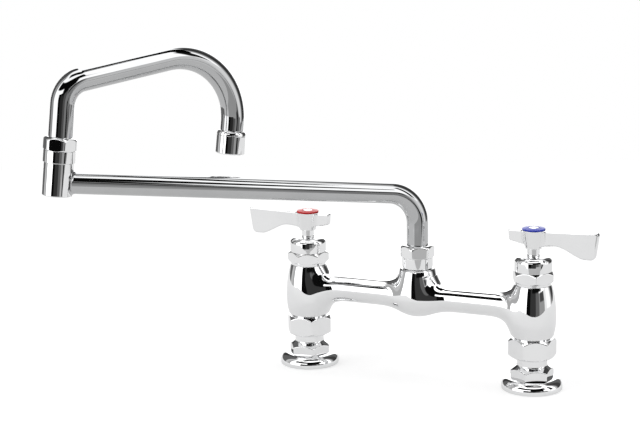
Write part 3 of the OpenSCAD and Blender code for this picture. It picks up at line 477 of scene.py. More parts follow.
# %% Rounded bars
def bar_grid(x, low_z, high_z, half_t, edge, steps=6):
    """For each x an upright rectangle from low_z to high_z, half_t thick each way, whose corners are
    arcs of radius edge. A point just outside each arc keeps the sides flat."""
    t = np.concatenate([[0], np.linspace(0, np.pi / 2, steps), [np.pi / 2]])
    beyond = np.concatenate([[0.3], np.zeros(steps), [0.3]])
    half_h = (high_z - low_z)[:, None] / 2
    e = np.minimum(edge, 0.95 * np.minimum(half_h, half_t[:, None]))
    columns = []
    for quarter, (sy, sz) in enumerate([(1, 1), (-1, 1), (-1, -1), (1, -1)]):
        a = quarter * np.pi / 2 + t
        first, last = beyond * (t == 0), beyond * (t > 1)
        back_y = np.where(quarter % 2 == 0, last, first)
        back_z = np.where(quarter % 2 == 0, first, last)
        y = sy * (half_t[:, None] - e) + e * (np.cos(a) - sy * back_y)
        z = sz * (half_h - e) + e * (np.sin(a) - sz * back_z)
        columns.append(np.stack([y, z], -1))
    section = np.concatenate(columns, 1)
    z = section[..., 1] + (high_z + low_z)[:, None] / 2
    return np.stack([np.broadcast_to(x[:, None], z.shape), section[..., 0], z], -1)

one_bar = bar_grid(np.array([0.0, 1.0]), np.zeros(2), np.ones(2), np.ones(2), 0.2)
print("points round a bar:", one_bar.shape[1])

def end_round(distance, radius):
    """How far a corner has drawn in at a distance from the tip: r - sqrt(r^2 - (r - distance)^2)."""
    d = np.clip(distance, 0, radius)
    return radius - np.sqrt(radius ** 2 - (radius - d) ** 2)

def smooth_step(t):
    """3 t^2 - 2 t^3 between 0 and 1."""
    t = np.clip(t, 0, 1)
    return t * t * (3 - 2 * t)

# %% The lever's blade and tail
BLADE_L, TAIL_L, BLADE_T, HUB_FOOT_R, HUB_TOP_R, HUB_H = 55.0, 21.0, 5.4, 6.9, 9.6, 14.6
BLADE_TOP, CLIMB, WAIST, BLADE_END = HUB_Z + HUB_H + 0.6, 1.4, 12.6, 22.8
ARCH_X, HEEL_X, ARCH_DROP = 18.7, 44.55, 4.3
FILLET = 2.2

def blade_underside(x):
    """Deepest at the heel; to the arch it rises by a smooth step, and from there to the hub it falls
    by 4.3 (1 - x / arch)^2. The tail's underside is straight."""
    waist = BLADE_TOP + 0.34 * CLIMB - WAIST
    heel = BLADE_TOP + CLIMB - BLADE_END
    arch = waist - ARCH_DROP * (1 - np.clip(x, 6, ARCH_X) / ARCH_X) ** 2
    out = np.where(x > ARCH_X, waist + (heel - waist) * smooth_step((x - ARCH_X) / (HEEL_X - ARCH_X)), arch)
    tail = BLADE_TOP + np.interp(x, [-19.6, -6, 6], [-9.8, -12.6, out[np.searchsorted(x, 6)] - BLADE_TOP])
    return np.where(x < 6, tail, out)

def blade_grid():
    """Rows from the tail to the tip, close together near the hub and at both ends. The section's
    half thickness grows from 2.4 mm at the bottom to 3.1 at the top, and by a quarter circle of
    2.2 mm beside the hub. The ends lean: x moves in by a share of the depth below the top."""
    tips = 1 - np.cos(np.linspace(0.05, np.pi / 2, 12))
    x = np.concatenate([-TAIL_L + 2.2 * tips, np.linspace(-18.4, -12.5, 8), np.linspace(-12.2, -5.8, 22),
                        np.linspace(-5, 5, 7), np.linspace(5.8, 13, 24), np.linspace(13.6, 49.6, 50),
                        BLADE_L - 5 * tips[::-1]])
    top = BLADE_TOP + CLIMB * np.clip(x / (BLADE_L - 2.8), 0, 1)
    low = blade_underside(x) + end_round(BLADE_L - x, 3.8) + end_round(x + TAIL_L, 1.4)
    high = top - end_round(BLADE_L - x, 2.8) - end_round(x + TAIL_L, 1.2)
    half = BLADE_T / 2 - end_round(BLADE_L - x, 1.4) * 0.7 - end_round(x + TAIL_L, 1.2) * 0.7
    grid = bar_grid(x, low, high, half, 1.1)
    depth = np.clip((BLADE_TOP + 1 - grid[..., 2]) / BLADE_END, 0, 1)
    hub_r = HUB_FOOT_R + (HUB_TOP_R - HUB_FOOT_R) * np.clip((grid[..., 2] - HUB_Z) / HUB_H, 0, 1)
    away = np.clip((np.abs(grid[..., 0]) - np.sqrt(hub_r ** 2 - 9) + 0.3) / FILLET, 0, 1)
    swell = FILLET * (1 - np.sqrt(1 - (1 - away) ** 2))
    grid[..., 1] *= (half[:, None] * (1.15 - 0.28 * depth) + swell) / half[:, None]
    lean = np.where(grid[..., 0] > 0, -3.1 * smooth_step((x[:, None] - 36) / 17),
                    1.5 * smooth_step((-12 - x[:, None]) / 8))
    grid[..., 0] += lean * depth
    return grid

print("the blade's grid:", blade_grid().shape[:2])

# %% Stems, handles and index rings
STEM_R, GROOVE_R, STEM_TOP_R = 5.99, 4.4, 5.15
stem_profile = rounded([
    (0.5, 72.0), (8.0, 72.0), (8.6, 72.6), (8.6, 76.6), (STEM_R, 76.7), (STEM_R, 83.1), (GROOVE_R, 83.2),
    (GROOVE_R, 84.9), (STEM_R, 85.0), (STEM_R, 87.1), (GROOVE_R, 87.2), (GROOVE_R, 88.9), (STEM_R, 89.0),
    (STEM_R, 100.2), (STEM_TOP_R, 100.3), (STEM_TOP_R, 120.5), (0.5, 120.6)], [0.2] * 15, 3)
hub_profile = rounded([(STEM_HOLE_R, HUB_Z), (HUB_FOOT_R, HUB_Z), (HUB_TOP_R - 0.04, INDEX_Z - 0.2),
                       (9.3, INDEX_Z), (2.3, INDEX_Z), (2.3, 129.0), (STEM_HOLE_R, 127.0),
                       (STEM_HOLE_R, HUB_Z)], [0.5, 0.15, 0.1, 0.2, 0.2, 0.2])
ring_profile = rounded([(4.5, INDEX_Z + 0.01), (9.4, INDEX_Z + 0.01), (9.65, INDEX_Z + 0.3),
                        (9.62, INDEX_Z + 0.95), (9.0, INDEX_Z + 1.25), (4.6, INDEX_Z + 1.88),
                        (4.5, INDEX_Z + 0.01)], [0.15, 0.15, 0.3, 0.4, 0.1])
bar_x = np.array([-1.0, -0.99, -0.9, 0.0, 0.9, 0.99, 1.0])
bar_in = np.array([0.25, 0.1, 0.0, 0.0, 0.0, 0.1, 0.25])
for side, sign in SIDES.items():
    at, body = move(sign * VALVE_X), f"{side}_valve"
    drive = bar_grid(2.3 * bar_x, 64.7 + bar_in, np.full(7, 73.0), 8.5 - bar_in, 0.3)
    square = bar_grid(3.2 * bar_x, np.full(7, 120.3), 131.2 - bar_in, 3.2 - bar_in, 0.3)
    make_piece(f"{side}_spindle", body, "chrome_turned", [f"{side}_stem"],
               [capped(grid, at) for grid in (spin(stem_profile), drive, square)])
    facing = turn("Z", 180 if side == "hot" else 0)
    make_piece(f"{side}_lever", body, "chrome_handle", [f"{side}_handle"],
               [capped(blade_grid(), at, facing), looped(spin(hub_profile[:-1]), at)])
    colour = "index_red" if side == "hot" else "index_blue"
    make_piece(f"{side}_index", body, colour, [f"{side}_index_ring"],
               [looped(spin(ring_profile[:-1]), at)])

# %% [markdown]
# ## The handle screws
# A screw with a low crowned head holds each handle on its stem and closes the middle of the index ring.
# The slot could be cut out of a turned head with a Boolean, which leaves long thin faces on the crown.
# Here the head is a height over a square sheet of points bent to a disc, with the rows and columns
# doubled at the slot's edges, so that the slot has upright walls and the crown stays smooth.

# %% Slotted screw heads
HEAD_R, HEAD_H, SLOT_DEPTH = 4.4, 2.2, 0.8
SLOT_Y, SLOT_V = 0.5, 0.604  # half the slot's width in mm, and half its length as a share of the chord

def screw_head():
    """A sheet over y and over v = x / half the chord at y. The crown falls from its top by
    0.34 (r / R)^2 + 0.6 (r / R)^10, and points between both pairs of slot edges lie 0.8 mm lower."""
    y = np.concatenate([-HEAD_R * np.cos(np.linspace(0.02, 1.4, 24)), [-SLOT_Y, -SLOT_Y, 0.0, SLOT_Y, SLOT_Y],
                        HEAD_R * np.cos(np.linspace(1.4, 0.02, 24))])
    v = np.concatenate([-np.cos(np.linspace(0, 0.9, 20)), [-SLOT_V, -SLOT_V], np.linspace(-0.55, 0.55, 12),
                        [SLOT_V, SLOT_V], np.cos(np.linspace(0.9, 0, 20))])
    x = v[:, None] * np.sqrt(HEAD_R ** 2 - y ** 2)
    share = np.clip(np.hypot(x, y) / HEAD_R, 0, 1)
    z = HEAD_H - 0.34 * share ** 2 - 0.6 * share ** 10
    in_row = (np.arange(len(v)) > 20) & (np.arange(len(v)) < 35)
    in_col = (np.arange(len(y)) > 24) & (np.arange(len(y)) < 28)
    z = np.where(in_row[:, None] & in_col, HEAD_H - SLOT_DEPTH, z)
    return np.stack([x, np.broadcast_to(y, x.shape), z], -1)

def sheet_shell(sheet, foot_z):
    """A sheet closed into a solid: its rim goes down to foot_z, where one point closes it."""
    rows, cols = sheet.shape[:2]
    index = np.arange(rows * cols).reshape(rows, cols)
    quads = np.stack([index[:-1, :-1], index[1:, :-1], index[1:, 1:], index[:-1, 1:]], -1).reshape(-1, 4)
    rim = np.concatenate([index[0, :-1], index[:-1, -1], index[-1, :0:-1], index[:0:-1, 0]])
    points = sheet.reshape(-1, 3)
    low = points[rim] * np.array([1, 1, 0]) + np.array([0, 0, foot_z])
    k, n = np.arange(len(rim)), rows * cols
    k2 = (k + 1) % len(rim)
    walls = np.stack([rim[k], rim[k2], n + k2, n + k], -1)
    tris = np.stack([n + k, n + k2, np.full(len(rim), n + len(rim))], -1)
    centre = np.array([[0, 0, foot_z]])
    return np.vstack([points, low, centre]), np.vstack([quads, walls]), tris

print("the screw head's sheet:", screw_head().shape[:2])

# %% Both screws
shank = rounded([(0.3, 123.0), (2.1, 123.0), (2.1, INDEX_Z), (HEAD_R, INDEX_Z), (HEAD_R, INDEX_Z + 0.3),
                 (0.3, INDEX_Z + 0.3)], [0.3, 0.1, 0.1, 0.05], 3)
for side, sign in SIDES.items():
    at = move(sign * VALVE_X)
    points, quads, tris = sheet_shell(placed(screw_head(), move(z=INDEX_Z)), INDEX_Z)
    crown = (points @ at[:3, :3].T + at[:3, 3], quads, tris)
    make_piece(f"{side}_screw", f"{side}_valve", "chrome_turned", [f"{side}_handle_screw"],
               [crown, capped(spin(shank, 64), at)])

# %% [markdown]
# ## The spout's two joints
# Each joint has a nut with a plain round skirt and above it a hexagon with corners polished quite round
# and a rolled top. The nut holds the tube's collar down on a bearing. The lower nut stands still on the
# boss and the upper one rides on the arm. One function makes both, with their own sizes, because they
# are the same kind of nut, and the hexagon is the valve's surface with a larger corner radius.

# %% Skirted nuts and the swivel socket
def skirted_nut(flats, skirt_r, skirt_h, hex_h, neck_r, tube_r, degrees):
    """Round skirt, a step out to the hexagon's foot, then a hexagon whose top is rolled over along
    a quarter of an ellipse, 4.15 mm wide and 4 mm high."""
    corner_r = 4.3
    corner = (flats / 2 - corner_r) / math.cos(math.pi / 6) + corner_r
    t = np.linspace(0.05, 1, 26) * np.pi / 2
    roll = np.stack([corner - 4 + 4.15 * np.cos(t), hex_h - 4 + 4 * np.sin(t)], -1)
    foot = straight((flats / 2 + 0.05, 0.03), (corner + 0.6, 1.5), 16)
    wall = [(corner + 1, 2.6), (corner + 1, 5.0), (corner + 1, hex_h - 4.2)]
    bore_r, neck_in = tube_r + 0.3, neck_r + 0.1
    bore = rounded([(corner - 4.3, hex_h), (bore_r, hex_h), (bore_r, 0.5), (flats / 2 - 1.5, 0.0)],
                   [0.35, 0.2], 4)
    hexagon = hexagon_grid(flats, np.vstack([foot, wall, roll]), bore, degrees, corner_r)
    skirt = rounded([(neck_in, 0.2), (skirt_r, 0.0), (skirt_r, skirt_h), (bore_r, skirt_h),
                     (bore_r, skirt_h - 1.0), (neck_in, skirt_h - 1.2), (neck_in, 0.2)],
                    [0.3, 0.1, 0.1, 0.1, 0.1], 4)
    return [spin(skirt[:-1]), placed(hexagon, move(z=skirt_h))]

ARM = turn("Z", ARM_ANGLE)
SLOPE = math.radians(ARM_SLOPE)
ARM_TIP = move(ARM_L * math.cos(SLOPE), 0, ARM_CORNER_Z + ARM_L * math.sin(SLOPE))
SWIVEL = ARM @ ARM_TIP @ turn("Y", -ARM_SLOPE)
SPOUT = SWIVEL @ turn("Z", FOLD_ANGLE)
OUTLET = SPOUT @ move(SPOUT_L)
SOCKET_R, SOCKET_NECK_R, SOCKET_HOLE_R = 11.5, 11.35, 9.56
make_piece("boss_nut", "base", "chrome_turned", ["spout_nut"],
           [looped(grid, move(z=BOSS_RIM_Z + 0.3))
            for grid in skirted_nut(26.0, 12.9, 9.0, 11.0, 11.8, ARM_R, 30)])
make_piece("elbow_nut", "lower_spout", "chrome_turned", ["swivel_nut"],
           [looped(grid, SWIVEL, move(z=15.7))
            for grid in skirted_nut(24.4, 12.45, 9.4, 10.6, SOCKET_NECK_R, SPOUT_R, 31)])
socket_profile = rounded([(0.3, -10.6), (SOCKET_R, -10.6), (SOCKET_R, 15.4), (SOCKET_NECK_R, 15.5),
                          (SOCKET_NECK_R, 25.0), (SOCKET_HOLE_R, 25.0), (SOCKET_HOLE_R, -7.6), (0.3, -7.6)],
                         [0.8, 0.2, 0.1, 0.2, 0.2, 0.2])
make_piece("elbow_socket", "lower_spout", "chrome_turned", ["swivel_socket"],
           [capped(spin(socket_profile), SWIVEL)])
print("swivel axis stands at", np.round(SWIVEL[:3, 3], 1), "mm")

# %% [markdown]
# ## The spout's tubes
# Both tubes are drawn, then bent on a mandrel, so the section stays round. A circle is carried along the
# centreline, which lies in one plane, so the same sideways direction serves the whole way. A curve with
# a round bevel would make the same tubes, but where the arm is brazed into the swivel's socket the metal
# has a small fillet, and on a grid that is only a radius that grows towards the socket.

# %% Centrelines
def centreline(runs):
    """Points and directions in the XZ plane, starting up +Z. A run is ("line", length) or
    ("bend", radius, degrees); a bend turns towards +X along its circle."""
    p, a, points, angles = np.zeros(2), 0.0, [], []
    for run in runs:
        if run[0] == "line":
            s = np.linspace(0, 1, max(3, int(run[1] / 4)))
            points.append(p + s[:, None] * run[1] * np.array([math.sin(a), math.cos(a)]))
            angles.append(np.full(len(s), a))
        else:
            t = a + np.linspace(0, math.radians(run[2]), max(8, int(run[2] / 1.5)))
            c = p + run[1] * np.array([math.cos(a), -math.sin(a)])
            points.append(c + run[1] * np.stack([-np.cos(t), np.sin(t)], -1))
            angles.append(t)
            a = t[-1]
        p = points[-1][-1]
    keep = [slice(None)] + [slice(1, None)] * (len(points) - 1)
    return (np.concatenate([q[k] for q, k in zip(points, keep)]),
            np.concatenate([q[k] for q, k in zip(angles, keep)]))

def tube_grid(points, angles, radius, sides=96):
    """The point at angle a round the tube is centre + radius (cos a * outward + sin a * Y), where
    outward is the direction turned a quarter in the path's plane."""
    a = np.linspace(0, 2 * np.pi, sides, endpoint=False)
    out = np.stack([-np.cos(angles), np.sin(angles)], -1)
    r = np.broadcast_to(radius, (len(points), sides))
    x = points[:, :1] + r * np.cos(a) * out[:, :1]
    z = points[:, 1:] + r * np.cos(a) * out[:, 1:]
    return np.stack([x, r * np.sin(a), z], -1)

print("a bend of 90 degrees has", len(centreline([("bend", 20.0, 90)])[0]), "points on its centreline")

# %% Lower arm
# The tube ends 8 mm short of the swivel's axis, inside the socket. At angle a round the tube it meets the
# socket's wall sqrt(R^2 - (r sin a)^2) before that axis. Towards there the radius grows by
# b (1 - sqrt(1 - n^2)), a quarter circle, where n goes from 0 to 1 over the fillet's length b. The last
# 14 mm of the tube have 60 rows for it.
ARM_FOOT_Z, ARM_BEND_R, BRAZE, SHORT_BY, FINE_L, FINE_ROWS = 78.0, 28.5, 2.2, 8.0, 14, 60
arm_turn = 90 - ARM_SLOPE
arm_tangent = ARM_BEND_R * math.tan(math.radians(arm_turn / 2))
reach = ARM_L - arm_tangent
points, angles = centreline([("line", ARM_CORNER_Z - ARM_FOOT_Z - arm_tangent),
                             ("bend", ARM_BEND_R, arm_turn), ("line", reach - SHORT_BY - 12), ("line", 12.0)])
travelled = np.concatenate([[0], np.cumsum(np.linalg.norm(np.diff(points, axis=0), axis=1))])
swivel_at = travelled[-1] + SHORT_BY
a = np.linspace(0, 2 * np.pi, 96, endpoint=False)
meets = swivel_at - np.sqrt(SOCKET_R ** 2 - (ARM_R * np.sin(a)) ** 2)
fine = np.linspace(travelled[-1] - FINE_L, travelled[-1], FINE_ROWS)
keep = travelled < fine[0] - 1
points = np.vstack([points[keep], np.stack([np.interp(fine, travelled, points[:, k]) for k in (0, 1)], -1)])
angles = np.concatenate([angles[keep], np.full(FINE_ROWS, angles[-1])])
travelled = np.concatenate([travelled[keep], fine])
near = np.clip(1 - (meets[None, :] - travelled[:, None]) / BRAZE, 0, 1)
arm_radius = ARM_R + BRAZE * (1 - np.sqrt(1 - near ** 2))
make_piece("lower_tube", "lower_spout", "chrome_tube", ["lower_arm"],
           [capped(tube_grid(points, angles, arm_radius), ARM, move(z=ARM_FOOT_Z))])

# %% Upper spout
FIRST_R, LAST_R, SPOUT_FOOT = 20.0, 52.0, -3.6
first_turn, last_turn = 90 - SPOUT_SLOPE, 90 + SPOUT_SLOPE
first_tangent = FIRST_R * math.tan(math.radians(first_turn / 2))
last_tangent = LAST_R * math.tan(math.radians(last_turn / 2))
slope = math.radians(SPOUT_SLOPE)
run_l = SPOUT_L / math.cos(slope) - first_tangent - last_tangent
drop_l = CORNER_H + SPOUT_L * math.tan(slope) - last_tangent - (HOUSING_TOP_H - 6)
points, angles = centreline([("line", CORNER_H - first_tangent - SPOUT_FOOT), ("bend", FIRST_R, first_turn),
                             ("line", run_l), ("bend", LAST_R, last_turn), ("line", drop_l)])
make_piece("upper_tube", "upper_spout_body", "chrome_tube", ["upper_spout"],
           [capped(tube_grid(points, angles, SPOUT_R), SPOUT, move(z=SPOUT_FOOT))])
print("upper run is", round(run_l, 1), "mm long; the drop to the outlet is", round(drop_l, 1), "mm")

# %% [markdown]
# ## The outlet
# A collar with a rounded shoulder is brazed round the end of the tube, and the aerator's housing screws
# over its thread. The housing is a plain turned cup with an open mouth, where the insert shows. Each is
# a closed profile spun round the outlet's axis, so that the wall is as thick as the real one.

# %% Outlet collar and aerator housing
CUP_R, THREAD_OUT_R, LIP_R = 12.0, 11.0, 9.8
t = np.linspace(0.05, 1.45, 12)
shoulder = np.stack([CUP_R - 2.1 * (1 - np.cos(t)), HOUSING_TOP_H + 0.4 + 3.6 * np.sin(t)], -1)
adapter_profile = np.vstack([
    rounded([(SPOUT_R, 32.0), (10.9, 32.0), (10.9, 38.0), (11.8, 38.05), (CUP_R, 38.3), shoulder[0]],
            [0.2, 0.1, 0.2, 0.2], 3), shoulder[1:], [(SPOUT_R, SHOULDER_TOP_H + 0.2)]])
housing_profile = rounded([(LIP_R, MOUTH_H), (11.2, MOUTH_H), (CUP_R, MOUTH_H + 0.8), (CUP_R, 37.95),
                           (THREAD_OUT_R, 37.95), (THREAD_OUT_R, MOUTH_H + 1.6), (LIP_R, MOUTH_H + 1.6),
                           (LIP_R, MOUTH_H)], [0.3, 0.5, 0.25, 0.2, 0.2, 0.2])
make_piece("outlet_collar", "upper_spout_body", "chrome_turned", ["outlet_adapter"],
           [looped(spin(adapter_profile), OUTLET)])
make_piece("aerator_cup", "upper_spout_body", "chrome_turned", ["aerator_housing"],
           [looped(spin(housing_profile[:-1]), OUTLET)])

# %% [markdown]
# ## Finishes
# Chrome plate over polished brass is a mirror with a faint cool cast. What gives it away as real is
# small: the plate's gloss varies a little from hand buffing, castings keep a slow wave in their
# surface, drawn tubes keep faint lines, and water leaves a film in some places. A picture of scratches
# would show where it repeats, so noise makes all of these. Gloss, waves and toning are three node
# groups, built once and used with other values in each material.

# %% Helpers for node groups
FLOAT, COLOUR = "NodeSocketFloat", "NodeSocketColor"

def new_group(name, inputs, output):
    """A node group with a Vector input, these inputs of (name, kind, value) and one output."""
    tree = bpy.data.node_groups.new(name, "ShaderNodeTree")
    for label, kind, value in [("Vector", "NodeSocketVector", (0, 0, 0)), *inputs]:
        socket = tree.interface.new_socket(label, in_out="INPUT", socket_type=kind)
        socket.default_value = value
    tree.interface.new_socket(output[0], in_out="OUTPUT", socket_type=output[1])
    return tree, tree.nodes.new("NodeGroupInput"), tree.nodes.new("NodeGroupOutput")

def add(tree, kind, links=None, **settings):
    """A node with its settings, and its inputs linked to sockets or set to values."""
    node = tree.nodes.new(kind)
    for key, value in settings.items():
        setattr(node, key, value)
    for key, value in (links or {}).items():
        if isinstance(value, bpy.types.NodeSocket):
            tree.links.new(value, node.inputs[key])
        else:
            node.inputs[key].default_value = value
    return node

def noise(tree, source, scale, detail):
    """Cloudy values round 0.5, of the size that the group's input of that name gives."""
    return add(tree, "ShaderNodeTexNoise", {"Vector": source.outputs["Vector"],
                                            "Scale": source.outputs[scale], "Detail": detail}).outputs["Fac"]

# %% Shared groups: buffed gloss, surface waves and toning
gloss, gin, gout = new_group("Buffed gloss", [("Scale", FLOAT, 60.0), ("Smooth", FLOAT, 0.03),
                                              ("Dull", FLOAT, 0.08)], ("Roughness", FLOAT))
spread = add(gloss, "ShaderNodeMapRange", {"Value": noise(gloss, gin, "Scale", 5.0), "From Min": 0.35,
                                           "From Max": 0.75, "To Min": gin.outputs["Smooth"],
                                           "To Max": gin.outputs["Dull"]})
gloss.links.new(spread.outputs["Result"], gout.inputs["Roughness"])

waves, win, wout = new_group("Surface waves", [("Broad", FLOAT, 90.0), ("Fine", FLOAT, 1500.0),
                                               ("Fine share", FLOAT, 0.1)], ("Height", FLOAT))
broad = noise(waves, win, "Broad", 1.0)
fine = noise(waves, win, "Fine", 3.0)
share = add(waves, "ShaderNodeMath", {0: fine, 1: win.outputs["Fine share"]}, operation="MULTIPLY")
total = add(waves, "ShaderNodeMath", {0: broad, 1: share.outputs[0]}, operation="ADD")
waves.links.new(total.outputs[0], wout.inputs["Height"])

MIX_A, MIX_B, MIX_RESULT = 6, 7, 2  # the colour sockets of the Mix node
tone, tin, tout = new_group("Toning", [("Scale", FLOAT, 36.0), ("Main", COLOUR, (0.9, 0.9, 0.9, 1)),
                                       ("Other", COLOUR, (0.8, 0.8, 0.8, 1))], ("Color", COLOUR))
patches = add(tone, "ShaderNodeMapRange", {"Value": noise(tone, tin, "Scale", 4.0), "From Min": 0.4,
                                           "From Max": 0.7})
mixed = add(tone, "ShaderNodeMix", {0: patches.outputs["Result"], MIX_A: tin.outputs["Main"],
                                    MIX_B: tin.outputs["Other"]}, data_type="RGBA")
tone.links.new(mixed.outputs[MIX_RESULT], tout.inputs["Color"])
print("shared groups:", [g.name for g in bpy.data.node_groups])

# %% One recipe for all finishes
def finish(name, main, other, smooth, dull, bump, metal=0.0, stretch=(1, 1, 1), coat=0.0, shine=0.5):
    """A Principled material whose colour, roughness and bump come from the three shared groups.
    stretch squeezes the pattern along an axis, as drawing a tube does."""
    mat = bpy.data.materials.new(name)
    mat.use_nodes = True
    tree = mat.node_tree
    shader = tree.nodes["Principled BSDF"]
    place = add(tree, "ShaderNodeMapping", {"Vector": tree.nodes.new("ShaderNodeTexCoord").outputs["Object"],
                                            "Scale": stretch}).outputs["Vector"]
    colour = add(tree, "ShaderNodeGroup", node_tree=tone)
    rough = add(tree, "ShaderNodeGroup", node_tree=gloss)
    height = add(tree, "ShaderNodeGroup", node_tree=waves)
    for group, values in ((colour, {"Main": (*main, 1), "Other": (*other, 1)}),
                          (rough, {"Smooth": smooth, "Dull": dull}), (height, {})):
        tree.links.new(place, group.inputs["Vector"])
        for key, value in values.items():
            group.inputs[key].default_value = value
    relief = add(tree, "ShaderNodeBump", {"Height": height.outputs["Height"], "Strength": 1.0,
                                          "Distance": bump})
    tree.links.new(colour.outputs["Color"], shader.inputs["Base Color"])
    tree.links.new(rough.outputs["Roughness"], shader.inputs["Roughness"])
    tree.links.new(relief.outputs["Normal"], shader.inputs["Normal"])
    for key, value in (("Metallic", metal), ("Coat Weight", coat), ("Specular IOR Level", shine)):
        shader.inputs[key].default_value = value
    return mat

# %% The finishes of this faucet
CHROME, CHROME_CLOUD = (0.95, 0.953, 0.958), (0.91, 0.914, 0.921)
finishes = {
    "chrome_cast": finish("Polished cast chrome", CHROME, CHROME_CLOUD, 0.02, 0.04, 0.000012, 1.0),
    "chrome_turned": finish("Turned chrome", CHROME, CHROME_CLOUD, 0.02, 0.04, 0.000006, 1.0),
    # The tubes' chrome is about six tenths as bright as the rest, which is painted shade on the tubes; the
    # stretched pattern stands for the lines left by drawing.
    "chrome_tube": finish("Drawn chrome tube in painted shade", (0.57, 0.575, 0.58), (0.54, 0.545, 0.552), 0.02, 0.04,
                          0.000008, 1.0, stretch=(1, 1, 0.5)),
    "chrome_handle": finish("Buffed handle chrome", CHROME, CHROME_CLOUD, 0.03, 0.06, 0.00002, 1.0),
    "index_red": finish("Red index enamel", (0.55, 0.012, 0.015), (0.45, 0.01, 0.012), 0.2, 0.3, 0.00001,
                        coat=0.05, shine=0.12),
    "index_blue": finish("Blue index enamel", (0.03, 0.05, 0.42), (0.02, 0.04, 0.34), 0.2, 0.3, 0.00001,
                         coat=0.05, shine=0.12),
    "bare_brass": finish("Bare brass", (0.72, 0.50, 0.22), (0.60, 0.40, 0.17), 0.22, 0.38, 0.00003, 1.0),
    "rubber": finish("Black sealing rubber", (0.02, 0.02, 0.022), (0.035, 0.035, 0.035), 0.45, 0.65, 0.00004),
    "ceramic": finish("Lapped ceramic", (0.82, 0.81, 0.77), (0.76, 0.75, 0.71), 0.10, 0.18, 0.000005),
    "bearing_plastic": finish("Slippery bearing plastic", (0.80, 0.80, 0.78), (0.74, 0.74, 0.72), 0.35, 0.5,
                              0.00002),
    "screen_steel": finish("Steel screen", (0.55, 0.56, 0.57), (0.45, 0.46, 0.47), 0.25, 0.4, 0.00003, 1.0),
    "aerator_plastic": finish("Moulded aerator plastic", (0.72, 0.73, 0.74), (0.66, 0.67, 0.68), 0.35, 0.5,
                              0.00003),
}
print("finishes:", len(finishes))

# %% Every piece and every remaining CAD node gets its finish
slot_of = {row["node"]: row["material_slot"] for row in frame["record"]["subparts"]}
for obj in made.values():
    obj.data.materials.append(finishes[obj["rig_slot"]])
for name, obj in nodes.items():
    obj.data.materials.clear()
    obj.data.materials.append(finishes[slot_of[name]])
print("finished pieces:", len(made), "and CAD nodes:", len(nodes))

# %% [markdown]
# ## The studio
# Chrome shows the room. The room here is a small pale table in a white surround, with a dark gap where
# the camera stands, bright soft panels left and right of it, greys behind them and a dark strip overhead.
# Real panels could be hung round the table, but each would have to be hidden from the camera. So they
# are painted on the world by direction, for reflected rays alone, and straight rays see plain white.
# The table is a real plane, so that the faucet's foot is reflected in context and its shadow falls on
# something.

# %% Directions of the studio
world = bpy.data.worlds.new("Studio")
bpy.context.scene.world = world
world.use_nodes = True
tree = world.node_tree
tree.nodes.clear()
CAMERA_AZIMUTH = math.radians(-65.8)
to_camera = (math.cos(CAMERA_AZIMUTH), math.sin(CAMERA_AZIMUTH), 0.0)
to_right = (-math.sin(CAMERA_AZIMUTH), math.cos(CAMERA_AZIMUTH), 0.0)
direction = tree.nodes.new("ShaderNodeTexCoord").outputs["Generated"]

def dot(axis):
    """How far the ray's direction goes along an axis."""
    product = add(tree, "ShaderNodeVectorMath", {0: direction, 1: axis}, operation="DOT_PRODUCT")
    return product.outputs["Value"]

def math_node(operation, a, b=0.0):
    """One sum, product or function of a and b."""
    return add(tree, "ShaderNodeMath", {0: a, 1: b}, operation=operation).outputs[0]

front, right, up = dot(to_camera), dot(to_right), dot((0, 0, 1))
azimuth = math_node("MULTIPLY", math_node("ARCTAN2", right, front), 180 / math.pi)
elevation = math_node("MULTIPLY", math_node("ARCSINE", up), 180 / math.pi)
over_right = math_node("DIVIDE", right, math_node("MAXIMUM", up, 0.01))
over_front = math_node("DIVIDE", front, math_node("MAXIMUM", up, 0.01))
print("azimuth 0 points to the camera, along", [round(v, 3) for v in to_camera])

# %% Masks and paint
def ramp(value, start, end, low=0.0, high=1.0):
    """low before start, high after end, and a smooth step between."""
    limits = {"Value": value, "From Min": start, "From Max": end, "To Min": low, "To Max": high}
    return add(tree, "ShaderNodeMapRange", limits, interpolation_type="SMOOTHSTEP").outputs["Result"]

def above(value, at, soft):
    """0 below that value and 1 above, with a soft edge."""
    return ramp(value, at - soft, at + soft)

def between(value, low, high, soft):
    """1 between low and high and 0 outside, with soft edges."""
    return math_node("SUBTRACT", above(value, low, soft), above(value, high, soft))

WHITE_LEVEL = 1.8
brightness = add(tree, "ShaderNodeValue").outputs[0]
brightness.default_value = WHITE_LEVEL

def paint(level, *masks):
    """Puts this level where all masks are 1."""
    global brightness
    mask = masks[0]
    for other in masks[1:]:
        mask = math_node("MULTIPLY", mask, other)
    brightness = add(tree, "ShaderNodeMix", {"Factor": mask, "A": brightness, "B": level}).outputs["Result"]

print("the white surround's level:", WHITE_LEVEL)

